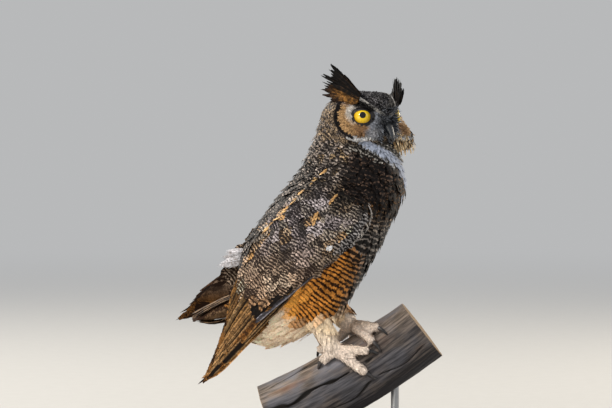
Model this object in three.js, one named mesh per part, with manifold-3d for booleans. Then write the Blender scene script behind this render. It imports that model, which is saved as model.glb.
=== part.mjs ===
// A great horned owl at life size, gripping a short cut length of dead limb on a plain display stand.
// Millimetres, +Z up. +X is the way the body faces and -Y is the owl's right side. The origin is the middle
// of the base's underside. The outlines include the plumage, out to the tips of the feathers.
import * as THREE from "three";
import { mergeVertices } from "three/addons/utils/BufferGeometryUtils.js";
import Module from "manifold-3d";

const wasm = await Module();
wasm.setup();

// ---- Driving dimensions ----
const GAP = 0.3; // kept between neighbouring solids
const BODY_YAW = -8; // degrees: the breast turns a little to the owl's right
const BODY_PIVOT = [-20, 0];

// The trunk's profile, from inside the head to under the tail: back and front edge (x, z) and half width.
const TRUNK_START = [44, 533];
const TRUNK_STATIONS = [
  { name: "skull base", back: [-13, 517], front: [88, 498], wide: 46 },
  { name: "neck", back: [-24, 490], front: [108, 466], wide: 57 },
  { name: "neck base", back: [-37, 458], front: [115, 430], wide: 65 },
  { name: "shoulders", back: [-60, 428], front: [108, 402], wide: 76 },
  { name: "breast", back: [-82, 401], front: [92, 368], wide: 83 },
  { name: "middle", back: [-101, 376], front: [75, 332], wide: 85 },
  { name: "belly", back: [-117, 351], front: [55, 299], wide: 82 },
  { name: "flank", back: [-128, 329], front: [35, 264], wide: 75 },
  { name: "rump", back: [-131, 303], front: [15, 229], wide: 63 },
  { name: "vent", back: [-128, 270], front: [-38, 204], wide: 46 },
  { name: "undertail", back: [-125, 240], front: [-80, 190], wide: 31 },
];
const TRUNK_END = [-114, 196];
const TRUNK_SQUARENESS = 2.25; // superellipse exponent of a cross section
const HEAD_CUT = { at: [46, 484], lean: 20 }; // thin cuts that part head, neck and trunk
const NECK_CUT = { at: [30, 444], lean: 14 };

const HEAD = {
  centre: [52, -8, 520],
  yaw: -48, // degrees from +X towards the owl's right
  front: 49,
  back: 64,
  side: 64,
  crown: 47,
  chin: 51,
};
const FACE_DISC = { aim: [32, 36, 6], angle: 40, hollow: 8, rim: 4 }; // aim is forward, sideways, up
const BROW_RIDGE = { aim: [38, 20, 24], angle: 17, height: 4 };
const CHEEK = { aim: [31, 63, -30], angle: 19, height: { right: 13, left: 24 } };
const CROWN_FLAT = { angle: 30, depth: 3 };
const EYE = { at: [25, 28, 6.5], radius: 15.5 };
const BILL = {
  base: [40, 0, 0],
  tip: [61, 0, -31],
  bulge: [60, 0, -8],
  wide: 8.5,
  deep: 10,
};
// An ear tuft fans out in blades: turn is degrees down from its top edge.
const TUFT_THICK = 5;
const TUFT_RIGHT = {
  base: [27, 43, 37],
  reach: [-31, 27, 45], // backwards, outwards, up
  blades: [
    { turn: -1, length: 62, wide: 14 },
    { turn: 20, length: 64, wide: 13 },
    { turn: 42, length: 51, wide: 10 },
  ],
};
const TUFT_LEFT = {
  base: [22, 49, 31],
  reach: [-23, 20, 37],
  blades: [
    { turn: 0, length: 48, wide: 10 },
    { turn: -16, length: 38, wide: 8 },
  ],
};

// Folded wings: centre line (x, z) in side view, and keys [share of length, mm] along it.
const WING_RIGHT = { line: [[46, 440], [-65, 287], [-180, 140]], side: -1, hand: [0, 0] };
const WING_LEFT = { line: [[43, 430], [-57, 326], [-227, 226]], side: 1, hand: [0, 6] };
const WING_DORSAL = [[0, 24], [0.15, 56], [0.45, 67], [0.65, 43], [0.85, 18], [1, 3]];
const WING_VENTRAL = [[0, 18], [0.06, 46], [0.14, 58], [0.34, 47], [0.5, 28], [0.68, 17], [0.88, 15], [1, 3]];
const WING_DORSAL_Y = [[0, 50], [0.2, 62], [0.45, 52], [0.7, 44], [1, 24]];
const WING_VENTRAL_Y = [[0, 56], [0.12, 79], [0.35, 84], [0.6, 70], [1, 33]];
const WING_BULGE = [[0, 8], [0.12, 22], [0.3, 31], [0.5, 24], [0.7, 9], [1, 2]];
const WING_THICK = [[0, 30], [0.45, 40], [0.56, 14], [0.66, 7], [0.85, 5], [1, 2.5]];
const WRIST_SHARE = 0.57; // the wing is parted here into its arm and its primaries

const TAIL = {
  root: [-62, 300],
  tip: [-197, 236],
  half: [[0, 18], [0.45, 30], [0.85, 33], [1, 24]],
  above: [[0, 9], [0.5, 6], [1, 2.2]],
  below: [[0, 22], [0.5, 29], [0.78, 19], [1, 2.4]], // with the coverts under the tail
  droop: [[0, 4], [0.5, 12], [1, 10]],
};

// A loose pale plume that stands out over the rump on the far side.
const PLUME = { root: [-112, 44, 322], tip: [-158, 50, 314], wide: 9, thick: 4 };

// The perch: a limb along a gently bent axis, measured on it by distance along and angle from its top.
const PERCH = {
  y: 15,
  left: [-86, 86],
  middle: [24, 130],
  right: [137, 218],
  tall: 49,
  deep: 57,
  sides: 24,
  rings: 12,
};
const PERCH_SPLIT = { angle: -74, wander: 7, wide: 9, depth: 9 };

const TARSUS = { top: 22, middle: 17, ankle: 13.5 };
const TOE = { radius: 8.8, tip: 7.4 };
const CLAW = { radius: 3.4, length: 21, start: 12, bend: 70 }; // bend is in degrees over its length
// Feet on the perch: where the ankle stands (along, angle) and where each toe ends (along, angle).
const FEET = {
  right: {
    hip: [-27, -30, 258],
    ankle: [6, -36],
    toes: [
      { name: "inner", end: [48, -66] },
      { name: "middle", end: [28, -89] },
      { name: "outer", end: [-19, -40] },
      { name: "hind", end: [-14, -6] },
    ],
  },
  left: {
    hip: [2, 30, 258],
    ankle: [46, -2],
    toes: [
      { name: "inner", end: [62, -59] },
      { name: "middle", end: [79, -45] },
      { name: "outer", end: [38, 52] },
      { name: "hind", end: [19, 10] },
    ],
  },
};

const BASE = { long: 270, deep: 190, thick: 14, corner: 22, bevel: 1.5 };
const ROD = { radius: 6, flange: 12, flange_thick: 3, fillet: 2.5 };
const ROD_STATIONS = { stand_rod_left: -46, stand_rod_right: 98 }; // x of each rod

// ---- Small helpers ----
const radians = THREE.MathUtils.degToRad;
const vec = (x, y, z) => new THREE.Vector3(x, y, z);

// A smooth value through [at, value] keys, held level past either end.
function keyed(keys, at) {
  const last = keys.length - 1;
  if (at <= keys[0][0]) return keys[0][1];
  if (at >= keys[last][0]) return keys[last][1];
  const i = keys.findIndex((key) => key[0] > at) - 1;
  const slope = (k) => {
    const a = keys[Math.max(k - 1, 0)];
    const b = keys[Math.min(k + 1, last)];
    return (b[1] - a[1]) / (b[0] - a[0]);
  };
  const [x0, y0] = keys[i];
  const [x1, y1] = keys[i + 1];
  const span = x1 - x0;
  const t = (at - x0) / span;
  const rise = y1 - y0;
  const cubic = t * t * (3 - 2 * t);
  return (
    y0 + rise * cubic + span * (slope(i) * t * (1 - t) ** 2 - slope(i + 1) * t * t * (1 - t))
  );
}

// A closed geometry through rings of equal count, ending in a point at each end.
function loft(rings, start, end) {
  const sides = rings[0].length;
  const points = [start, ...rings.flat(), end];
  const index = [];
  const at = (ring, side) => 1 + ring * sides + (side % sides);
  for (let s = 0; s < sides; s++) {
    index.push(0, at(0, s + 1), at(0, s));
    index.push(points.length - 1, at(rings.length - 1, s), at(rings.length - 1, s + 1));
    for (let r = 0; r + 1 < rings.length; r++) {
      index.push(at(r, s), at(r, s + 1), at(r + 1, s));
      index.push(at(r, s + 1), at(r + 1, s + 1), at(r + 1, s));
    }
  }
  return new THREE.BufferGeometry().setFromPoints(points).setIndex(index);
}

// A superelliptic ring: half size a along u and b along v.
function ring(centre, u, a, v, b, sides, power = 2) {
  return Array.from({ length: sides }, (_, i) => {
    const angle = (2 * Math.PI * i) / sides;
    const c = Math.cos(angle);
    const s = Math.sin(angle);
    return centre
      .clone()
      .addScaledVector(u, Math.sign(c) * Math.abs(c) ** (2 / power) * a)
      .addScaledVector(v, Math.sign(s) * Math.abs(s) ** (2 / power) * b);
  });
}

// A round limb along points, with a radius at each, ending in blunt tips.
function limb(points, radii, sides, grow = 0) {
  const rings = points.map((p, i) => {
    const along = points[Math.min(i + 1, points.length - 1)]
      .clone()
      .sub(points[Math.max(i - 1, 0)])
      .normalize();
    const u = vec(0, 1, 0).addScaledVector(along, -along.y).normalize();
    const v = along.clone().cross(u);
    return ring(p, u, radii[i] + grow, v, radii[i] + grow, sides);
  });
  const tip = (a, b, r) => a.clone().addScaledVector(a.clone().sub(b).normalize(), r * 0.55 + grow);
  const n = points.length - 1;
  return loft(rings, tip(points[0], points[1], radii[0]), tip(points[n], points[n - 1], radii[n]));
}

// A geometry as a manifold-3d solid, turned face out if its loft ran the other way.
function solid(geometry, matrix = new THREE.Matrix4()) {
  const bare = geometry.clone();
  bare.deleteAttribute("normal");
  bare.deleteAttribute("uv");
  const merged = mergeVertices(bare.applyMatrix4(matrix), 1e-4);
  const make = (triVerts) =>
    new wasm.Manifold(
      new wasm.Mesh({ numProp: 3, vertProperties: merged.attributes.position.array, triVerts }),
    );
  const triVerts = new Uint32Array(merged.index.array);
  const made = make(triVerts);
  return made.volume() > 0 ? made : make(triVerts.slice().reverse());
}

// The largest body of a solid, so that a cut leaves no crumbs.
function largest(made) {
  return made.decompose().reduce((a, b) => (a.volume() > b.volume() ? a : b));
}

const owl = new THREE.Group();
const cuts = new Map(); // the solid that stands for each node

function addNode(name, made, colour, roughness) {
  const body = largest(made).simplify(0.1);
  const mesh = body.getMesh();
  const geometry = new THREE.BufferGeometry();
  geometry.setAttribute("position", new THREE.BufferAttribute(mesh.vertProperties, mesh.numProp));
  geometry.setIndex(new THREE.BufferAttribute(mesh.triVerts, 1));
  geometry.computeVertexNormals();
  const material = new THREE.MeshStandardMaterial({ color: colour, roughness, metalness: 0 });
  const node = new THREE.Mesh(geometry, material);
  node.name = name;
  owl.add(node);
  cuts.set(name, body);
}

// ---- Frames ----
const bodyFrame = new THREE.Matrix4()
  .makeTranslation(BODY_PIVOT[0], BODY_PIVOT[1], 0)
  .multiply(new THREE.Matrix4().makeRotationZ(radians(BODY_YAW)))
  .multiply(new THREE.Matrix4().makeTranslation(-BODY_PIVOT[0], -BODY_PIVOT[1], 0));

// In the head's own frame x is forward, y is to the owl's left and z is up.
const headFrame = new THREE.Matrix4()
  .makeTranslation(...HEAD.centre)
  .multiply(new THREE.Matrix4().makeRotationZ(radians(HEAD.yaw)));

// ---- Trunk and neck ----
function trunkSolid(grow = 0) {
  const sides = 28;
  const between = 2;
  const count = (TRUNK_STATIONS.length - 1) * between;
  const key = (pick) => TRUNK_STATIONS.map((station, i) => [i, pick(station)]);
  const rings = [];
  for (let i = 0; i <= count; i++) {
    const at = i / between;
    const back = vec(keyed(key((s) => s.back[0]), at), 0, keyed(key((s) => s.back[1]), at));
    const front = vec(keyed(key((s) => s.front[0]), at), 0, keyed(key((s) => s.front[1]), at));
    const across = front.clone().sub(back);
    const half = across.length() / 2 + grow;
    const wide = keyed(key((s) => s.wide), at) + grow;
    const centre = back.add(front).multiplyScalar(0.5);
    rings.push(ring(centre, across.normalize(), half, vec(0, 1, 0), wide, sides, TRUNK_SQUARENESS));
  }
  const start = vec(TRUNK_START[0], 0, TRUNK_START[1] + grow);
  const end = vec(TRUNK_END[0], 0, TRUNK_END[1] - grow);
  return solid(loft(rings, start, end), bodyFrame);
}

// ---- Head: a ball pushed out and in by the skull, the facial discs and the brows ----
function angleTo(direction, aim, side) {
  return direction.angleTo(vec(aim[0], aim[1] * side, aim[2]).normalize());
}

function bump(angle, width) {
  return Math.exp(-((angle / width) ** 2));
}

function headReach(direction) {
  const long = direction.x > 0 ? HEAD.front : HEAD.back;
  const tall = direction.z > 0 ? HEAD.crown : HEAD.chin;
  let reach =
    1 / Math.hypot(direction.x / long, direction.y / HEAD.side, direction.z / tall);
  for (const side of [-1, 1]) {
    const share = angleTo(direction, FACE_DISC.aim, side) / radians(FACE_DISC.angle);
    reach -= FACE_DISC.hollow * bump(share, 0.62);
    reach += FACE_DISC.rim * bump(share - 1, 0.2) * (direction.x > -0.4 ? 1 : 0.4);
    const cheek = side < 0 ? CHEEK.height.right : CHEEK.height.left;
    reach += BROW_RIDGE.height * bump(angleTo(direction, BROW_RIDGE.aim, side), radians(BROW_RIDGE.angle));
    reach += cheek * bump(angleTo(direction, CHEEK.aim, side), radians(CHEEK.angle));
  }
  reach -= CROWN_FLAT.depth * bump(angleTo(direction, [0, 0, 1], 1), radians(CROWN_FLAT.angle));
  return reach;
}

function headSolid(grow = 0) {
  const ball = new THREE.IcosahedronGeometry(1, 7);
  const place = ball.attributes.position;
  for (let i = 0; i < place.count; i++) {
    const direction = vec().fromBufferAttribute(place, i).normalize();
    const p = direction.clone().multiplyScalar(headReach(direction) + grow);
    place.setXYZ(i, p.x, p.y, p.z);
  }
  return solid(ball, headFrame);
}

function eyeSolid(side, grow = 0) {
  const ball = new THREE.IcosahedronGeometry(EYE.radius + grow, 3);
  ball.translate(EYE.at[0], EYE.at[1] * side, EYE.at[2]);
  return solid(ball, headFrame);
}

// ---- Bill: hooked upper mandible and a short lower one under it ----
function billSolid(upper, grow = 0) {
  const steps = 7;
  const drop = upper ? 0 : -9;
  const reach = upper ? 1 : 0.62;
  const line = new THREE.QuadraticBezierCurve3(
    vec(BILL.base[0], 0, BILL.base[2] + drop),
    vec(BILL.bulge[0] - (upper ? 0 : 7), 0, BILL.bulge[2] + drop),
    vec(BILL.tip[0] - (upper ? 0 : 8), 0, BILL.tip[2] + (upper ? 0 : 5)),
  );
  const rings = [];
  for (let i = 0; i < steps; i++) {
    const share = (i / steps) * 0.98;
    const taper = (1 - share) ** 0.62 * reach;
    const along = line.getTangent(share);
    const up = vec(-along.z, 0, along.x);
    const wide = BILL.wide * taper + grow;
    const deep = (BILL.deep * taper) / 1.6 + grow;
    rings.push(ring(line.getPoint(share), vec(0, 1, 0), wide, up, deep, 16));
  }
  const start = line.getPoint(0).add(vec(-4 - grow, 0, 0));
  const end = line.getPoint(1).addScaledVector(line.getTangent(1), grow);
  return solid(loft(rings, start, end), headFrame);
}

// ---- Ear tufts: long narrow feathers in blades that fan out from one root ----
function tuftSolid(side, tuft, grow = 0) {
  const base = vec(tuft.base[0], tuft.base[1] * side, tuft.base[2]);
  const reach = vec(tuft.reach[0], tuft.reach[1] * side, tuft.reach[2]).normalize();
  const flat = vec(0.2, 0.9 * side, -0.1);
  flat.addScaledVector(reach, -flat.dot(reach)).normalize();
  const blades = tuft.blades.map(({ turn, length, wide }) => {
    const along = reach.clone().applyAxisAngle(flat, -side * radians(turn)).multiplyScalar(length);
    const broad = along.clone().normalize().cross(flat);
    const rings = [0, 0.2, 0.45, 0.7, 0.88].map((share) => {
      const half = wide * (0.62 + 1.1 * share - 1.45 * share * share) + grow;
      const thick = TUFT_THICK * (1 - 0.62 * share) + grow;
      return ring(base.clone().addScaledVector(along, share), broad, half, flat, thick, 12);
    });
    const inner = base.clone().addScaledVector(along, -0.12);
    return solid(loft(rings, inner, base.clone().add(along)), headFrame);
  });
  return blades.reduce((all, blade) => all.add(blade));
}

// ---- Wings: a curved shell along the folded wing's line ----
function wingSolid(wing, grow = 0) {
  const steps = 20;
  const across = 8;
  const line = new THREE.CatmullRomCurve3(wing.line.map(([x, z]) => vec(x, 0, z)));
  const rings = [];
  for (let i = 0; i <= steps; i++) {
    const share = i / steps;
    const along = line.getTangentAt(share);
    const broad = vec(-along.z, 0, along.x); // towards the belly
    const centre = line.getPointAt(share);
    const dorsal = keyed(WING_DORSAL, share) + grow;
    const ventral = keyed(WING_VENTRAL, share) + grow;
    const bulge = keyed(WING_BULGE, share);
    const thick = keyed(WING_THICK, share);
    const lean = wing.hand[1] * share;
    const point = (q, inner) => {
      const edge = THREE.MathUtils.lerp(
        keyed(WING_DORSAL_Y, share),
        keyed(WING_VENTRAL_Y, share),
        (q + 1) / 2,
      );
      const rim = Math.sqrt(1 - q * q);
      const out = edge + lean + (bulge + 1) * rim + grow;
      const depth = inner ? thick * rim ** 0.5 + 1.4 + 2 * grow : 0;
      const reach = q < 0 ? dorsal * q : ventral * q;
      return centre
        .clone()
        .addScaledVector(broad, reach)
        .setY((out - depth) * wing.side);
    };
    const outer = Array.from({ length: across }, (_, k) => point(-1 + (2 * k) / (across - 1), false));
    const inner = Array.from({ length: across }, (_, k) => point(1 - (2 * k) / (across - 1), true));
    rings.push([...outer, ...inner]);
  }
  const middle = (loop) =>
    loop.reduce((sum, p) => sum.add(p), vec(0, 0, 0)).divideScalar(loop.length);
  const first = middle(rings[0]).addScaledVector(line.getTangentAt(0), -4);
  const last = middle(rings[steps]).addScaledVector(line.getTangentAt(1), 3);
  return solid(loft(rings, first, last), bodyFrame);
}

// ---- Tail: a folded fan, arched from side to side ----
function tailSolid(grow = 0) {
  const steps = 9;
  const across = 8;
  const root = vec(TAIL.root[0], 0, TAIL.root[1]);
  const tip = vec(TAIL.tip[0], 0, TAIL.tip[1]);
  const rings = [];
  for (let i = 0; i <= steps; i++) {
    const share = i / steps;
    const centre = root.clone().lerp(tip, share);
    const half = keyed(TAIL.half, share) + grow;
    const droop = keyed(TAIL.droop, share);
    const point = (q, thick) => {
      const rim = Math.sqrt(1 - q * q);
      const lift = thick * rim + Math.sign(thick) * (0.6 + grow) - droop * q * q;
      return vec(centre.x, half * q, centre.z + lift);
    };
    const row = Array.from({ length: across }, (_, k) => -1 + (2 * k) / (across - 1));
    const above = row.map((q) => point(q, keyed(TAIL.above, share)));
    const below = row.map((q) => point(-q, -keyed(TAIL.below, share)));
    rings.push([...above, ...below]);
  }
  const along = tip.clone().sub(root).normalize();
  return solid(
    loft(rings, root.clone().addScaledVector(along, -5), tip.clone().addScaledVector(along, 6)),
    bodyFrame,
  );
}

function plumeSolid() {
  const root = vec(...PLUME.root);
  const along = vec(...PLUME.tip).sub(root);
  const broad = along.clone().normalize().cross(vec(0, 1, 0));
  const rings = [0, 0.3, 0.6, 0.85].map((share) => {
    const half = PLUME.wide * (0.7 + 1.3 * share - 1.5 * share * share);
    const flat = vec(0, 1, 0);
    return ring(root.clone().addScaledVector(along, share), broad, half, flat, PLUME.thick * (1 - share / 2), 12);
  });
  const inner = root.clone().addScaledVector(along, -0.1);
  return solid(loft(rings, inner, root.clone().add(along)));
}

// ---- Perch ----
const perchLine = new THREE.QuadraticBezierCurve3(
  vec(PERCH.left[0], PERCH.y, PERCH.left[1]),
  vec(PERCH.middle[0], PERCH.y, PERCH.middle[1]),
  vec(PERCH.right[0], PERCH.y, PERCH.right[1]),
);
const PERCH_LENGTH = perchLine.getLength();

function perchRadius(share, angle) {
  const wander = PERCH_SPLIT.wander * Math.sin(5.1 * share + 0.8);
  const split = PERCH_SPLIT.depth * bump(angle - radians(PERCH_SPLIT.angle + wander), radians(PERCH_SPLIT.wide));
  const knots = 1 + 0.035 * Math.sin(3 * angle + 4 * share) + 0.02 * Math.sin(5 * angle - 7 * share);
  const c = Math.cos(angle) * PERCH.deep;
  const s = Math.sin(angle) * PERCH.tall;
  const oval = (PERCH.tall * PERCH.deep) / Math.hypot(c, s);
  return oval * knots - split;
}

// A point on or above the perch: along is measured from the axis's middle, angle from its top.
function perchPoint(along, degrees, lift) {
  const share = THREE.MathUtils.clamp(0.5 + along / PERCH_LENGTH, 0, 1);
  const angle = radians(degrees);
  const tangent = perchLine.getTangentAt(share);
  const up = vec(-tangent.z, 0, tangent.x);
  const reach = perchRadius(share, angle) + lift;
  return perchLine
    .getPointAt(share)
    .addScaledVector(up, reach * Math.cos(angle))
    .addScaledVector(vec(0, 1, 0), reach * Math.sin(angle));
}

function perchSolid(grow = 0) {
  const rings = [];
  for (let i = 0; i <= PERCH.rings; i++) {
    const along = (i / PERCH.rings - 0.5) * PERCH_LENGTH;
    rings.push(
      Array.from({ length: PERCH.sides }, (_, k) => perchPoint(along, (360 * k) / PERCH.sides, grow)),
    );
  }
  const start = perchLine.getPointAt(0).addScaledVector(perchLine.getTangentAt(0), -1 - grow);
  const end = perchLine.getPointAt(1).addScaledVector(perchLine.getTangentAt(1), 1 + grow);
  return solid(loft(rings, start, end));
}

// ---- Legs and feet ----
function footParts(foot) {
  const ankle = perchPoint(foot.ankle[0], foot.ankle[1], TARSUS.ankle + 2);
  const hip = vec(...foot.hip);
  const middle = hip.clone().lerp(ankle, 0.5);
  const tarsus = (grow) =>
    solid(
      limb([hip, middle, ankle], [TARSUS.top, TARSUS.middle, TARSUS.ankle], 14, grow),
    );
  const toes = foot.toes.map((toe) => {
    const at = (share, lift) =>
      perchPoint(
        THREE.MathUtils.lerp(foot.ankle[0], toe.end[0], share),
        THREE.MathUtils.lerp(foot.ankle[1], toe.end[1], share),
        lift,
      );
    const path = [at(0, 11), at(0.35, TOE.radius + 2), at(0.7, TOE.radius), at(1, TOE.tip)];
    const radii = [TOE.radius + 1.5, TOE.radius, TOE.radius, TOE.tip];
    return { name: toe.name, path, make: (grow) => solid(limb(path, radii, 10, grow)) };
  });
  const whole = (grow) => toes.reduce((sum, toe) => sum.add(toe.make(grow)), tarsus(grow));
  return { whole, toes };
}

// A claw leaves the toe's tip and curls down towards the wood.
function clawSolid(path, grow = 0) {
  const [before, tip] = path.slice(-2);
  const forward = tip.clone().sub(before).normalize();
  const share = THREE.MathUtils.clamp((tip.x - PERCH.left[0]) / (PERCH.right[0] - PERCH.left[0]), 0, 1);
  const inwards = perchLine.getPointAt(share).sub(tip).normalize();
  const axle = forward.clone().cross(inwards).normalize();
  const steps = 6;
  const points = [tip.clone().addScaledVector(forward, 2)];
  const radii = [CLAW.radius];
  for (let i = 1; i <= steps; i++) {
    const turn = radians(CLAW.start + (CLAW.bend * (i - 0.5)) / steps);
    const step = forward.clone().applyAxisAngle(axle, turn).multiplyScalar(CLAW.length / steps);
    points.push(points[i - 1].clone().add(step));
    radii.push(CLAW.radius * (1 - i / (steps + 0.6)) ** 0.75);
  }
  return solid(limb(points, radii, 8, grow));
}

// ---- Stand ----
function baseSolid() {
  const { long, deep, thick, corner, bevel } = BASE;
  const x = long / 2 - bevel;
  const y = deep / 2 - bevel;
  const outline = new THREE.Shape()
    .moveTo(corner - x, -y)
    .lineTo(x - corner, -y)
    .absarc(x - corner, corner - y, corner, -Math.PI / 2, 0)
    .lineTo(x, y - corner)
    .absarc(x - corner, y - corner, corner, 0, Math.PI / 2)
    .lineTo(corner - x, y)
    .absarc(corner - x, y - corner, corner, Math.PI / 2, Math.PI)
    .lineTo(-x, corner - y)
    .absarc(corner - x, corner - y, corner, Math.PI, 1.5 * Math.PI);
  const plate = new THREE.ExtrudeGeometry(outline, {
    depth: thick - 2 * bevel,
    bevelThickness: bevel,
    bevelSize: bevel,
    bevelSegments: 1,
    curveSegments: 4,
  });
  plate.translate(0, 0, bevel);
  return solid(plate);
}

function rodSolid(x) {
  const height = 320;
  const { radius, flange, flange_thick: rim, fillet } = ROD;
  const profile = [
    [0, 0],
    [flange, 0],
    [flange, rim - 0.8],
    [flange - 0.8, rim],
    [radius + fillet, rim],
    [radius + fillet * 0.3, rim + fillet * 0.3],
    [radius, rim + fillet],
    [radius, height],
    [0, height],
  ].map(([r, z]) => new THREE.Vector2(r, z));
  const rod = new THREE.LatheGeometry(profile, 20);
  rod.rotateX(Math.PI / 2);
  rod.translate(x, PERCH.y, BASE.thick + GAP);
  return solid(rod);
}

// The part of a rod below the perch.
function rodUnderPerch(x) {
  const pieces = rodSolid(x).subtract(perchSolid(GAP)).decompose();
  return pieces.reduce((a, b) => (a.boundingBox().min[2] < b.boundingBox().min[2] ? a : b));
}

// ---- Assembly: each solid gives way to the ones before it, with a thin gap ----
const COLOURS = {
  plumage: 0x5b4a3a,
  face: 0x8d6238,
  tuft: 0x2c231d,
  bib: 0xd9d4cc,
  leg: 0xcdb79a,
  claw: 0x23242a,
  bill: 0x2b2e35,
  eye: 0xe0b41a,
  wood: 0x6d6259,
  stand: 0x23211f,
  steel: 0x6b6b6d,
};
const SIDES = { right: -1, left: 1 };
const WINGS = { right: WING_RIGHT, left: WING_LEFT };
const TUFTS = { right: TUFT_RIGHT, left: TUFT_LEFT };

function cutPlane({ at, lean }) {
  const normal = [Math.sin(radians(lean)), 0, Math.cos(radians(lean))];
  return { normal, offset: normal[0] * at[0] + normal[2] * at[1] };
}

function buildBody() {
  const headCut = cutPlane(HEAD_CUT);
  const neckCut = cutPlane(NECK_CUT);
  const flip = (normal) => normal.map((x) => -x);
  const sockets = ["right", "left"].map((side) => eyeSolid(SIDES[side], GAP));
  const bill = billSolid(true, GAP).add(billSolid(false, GAP));
  const trunk = trunkSolid();
  const skull = headSolid().add(trunk.trimByPlane(headCut.normal, headCut.offset - 10));
  let head = skull.trimByPlane(headCut.normal, headCut.offset + GAP / 2).subtract(bill);
  for (const socket of sockets) head = head.subtract(socket);
  const below = trunk.add(headSolid()).trimByPlane(flip(headCut.normal), GAP / 2 - headCut.offset);
  addNode("head", head, COLOURS.face, 0.95);
  addNode("neck", below.trimByPlane(neckCut.normal, neckCut.offset + GAP / 2), COLOURS.plumage, 0.95);
  addNode("trunk", below.trimByPlane(flip(neckCut.normal), GAP / 2 - neckCut.offset), COLOURS.plumage, 0.95);
}

function buildHeadParts() {
  addNode("bill_upper", billSolid(true), COLOURS.bill, 0.35);
  addNode("bill_lower", billSolid(false).subtract(billSolid(true, GAP)), COLOURS.bill, 0.4);
  for (const side of ["right", "left"]) {
    addNode(`eye_${side}`, eyeSolid(SIDES[side]), COLOURS.eye, 0.1);
    const tuft = tuftSolid(SIDES[side], TUFTS[side]).subtract(headSolid(GAP));
    addNode(`ear_tuft_${side}`, tuft, COLOURS.tuft, 0.95);
  }
}

function buildWingsAndTail() {
  const flesh = trunkSolid(GAP).add(headSolid(GAP));
  let tail = tailSolid().subtract(flesh);
  for (const side of ["right", "left"]) {
    const { line } = WINGS[side];
    const curve = new THREE.CatmullRomCurve3(line.map(([x, z]) => vec(x, 0, z)));
    const normal = curve.getTangentAt(WRIST_SHARE);
    const at = curve.getPointAt(WRIST_SHARE);
    normal.transformDirection(bodyFrame);
    at.applyMatrix4(bodyFrame);
    const offset = normal.dot(at);
    const wing = wingSolid(WINGS[side]).subtract(flesh);
    const arm = wing.trimByPlane(normal.clone().negate().toArray(), GAP / 2 - offset);
    const hand = wing.trimByPlane(normal.toArray(), offset + GAP / 2);
    addNode(`wing_${side}`, arm, COLOURS.plumage, 0.95);
    addNode(`primaries_${side}`, hand, COLOURS.plumage, 0.9);
    tail = tail.subtract(wingSolid(WINGS[side], GAP));
  }
  addNode("tail", tail, COLOURS.plumage, 0.9);
  const plume = plumeSolid().subtract(flesh).subtract(wingSolid(WING_LEFT, GAP));
  addNode("rump_plume", plume.subtract(tailSolid(GAP)), COLOURS.bib, 0.95);
}

function buildLegs() {
  const perch = perchSolid(GAP);
  const body = trunkSolid(GAP);
  let taken = perch.add(body);
  for (const side of ["right", "left"]) {
    const { whole, toes } = footParts(FEET[side]);
    addNode(`leg_${side}`, whole(0).subtract(taken), COLOURS.leg, 0.95);
    taken = taken.add(whole(GAP));
    for (const toe of toes) {
      addNode(`claw_${side}_${toe.name}`, clawSolid(toe.path).subtract(taken), COLOURS.claw, 0.4);
      taken = taken.add(clawSolid(toe.path, GAP));
    }
  }
}

function buildPerchAndStand() {
  addNode("perch", perchSolid(), COLOURS.wood, 0.9);
  addNode("stand_base", baseSolid(), COLOURS.stand, 0.5);
  for (const [name, x] of Object.entries(ROD_STATIONS)) {
    addNode(name, rodUnderPerch(x), COLOURS.steel, 0.35);
  }
}

buildBody();
buildHeadParts();
buildWingsAndTail();
buildLegs();
buildPerchAndStand();

export default owl;
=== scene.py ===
"""A great horned owl on a short cut length of limb, with a display stand.

The frame's solids give every shape. One skin stands for the flesh, feathers lie over it, and the eyes, bill,
claws, limb and stand are finished pieces. Arrays are in millimetres, in the frame's own axes: +X is the way
the breast faces, -Y is the owl's right, +Z is up. Meshes are made in metres.
"""

import itertools
import math
from collections import namedtuple
from functools import partial

import bpy
import numpy as np
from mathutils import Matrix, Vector
from mathutils.bvhtree import BVHTree
from mathutils.kdtree import KDTree


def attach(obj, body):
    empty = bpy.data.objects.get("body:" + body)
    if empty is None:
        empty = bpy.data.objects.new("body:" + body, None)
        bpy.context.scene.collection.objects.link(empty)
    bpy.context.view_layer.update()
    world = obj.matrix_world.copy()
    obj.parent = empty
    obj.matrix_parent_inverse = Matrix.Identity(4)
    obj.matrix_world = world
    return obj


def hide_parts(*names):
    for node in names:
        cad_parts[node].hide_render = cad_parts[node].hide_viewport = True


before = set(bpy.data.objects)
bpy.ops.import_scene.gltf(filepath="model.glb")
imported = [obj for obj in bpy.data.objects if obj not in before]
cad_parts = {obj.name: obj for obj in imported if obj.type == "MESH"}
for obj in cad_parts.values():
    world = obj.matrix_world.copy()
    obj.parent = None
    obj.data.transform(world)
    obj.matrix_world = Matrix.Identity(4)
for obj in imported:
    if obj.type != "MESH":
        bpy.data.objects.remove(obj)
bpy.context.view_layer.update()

MM = 0.001
SIDES = {"right": -1, "left": 1}
TOES = ("inner", "middle", "outer", "hind")


# ---- Where things are on the frame's solids ----
UP = np.array([0.0, 0.0, 1.0])
BODY_YAW = math.radians(-8)
BODY_PIVOT = np.array([-20.0, 0.0, 0.0])
HEAD_YAW = math.radians(-48)
HEAD_CENTRE = np.array([52.0, -8.0, 520.0])
EYE_AT = np.array([25.0, 28.0, 6.5])  # in the head's frame: forward, to the left, up
EYE_RADIUS = 15.5
GAZE_OUT = math.radians(38)  # each eye looks this far out from straight ahead
GAZE_UP = math.radians(15)
FACE_OUT = math.radians(42)  # the face's markings are laid out as seen from this far out
BILL_BASE = np.array([46.0, 0.0, -4.0])
PERCH_LINE = np.array([[-86.0, 15.0, 86.0], [24.0, 15.0, 130.0], [137.0, 15.0, 218.0]])

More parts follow.
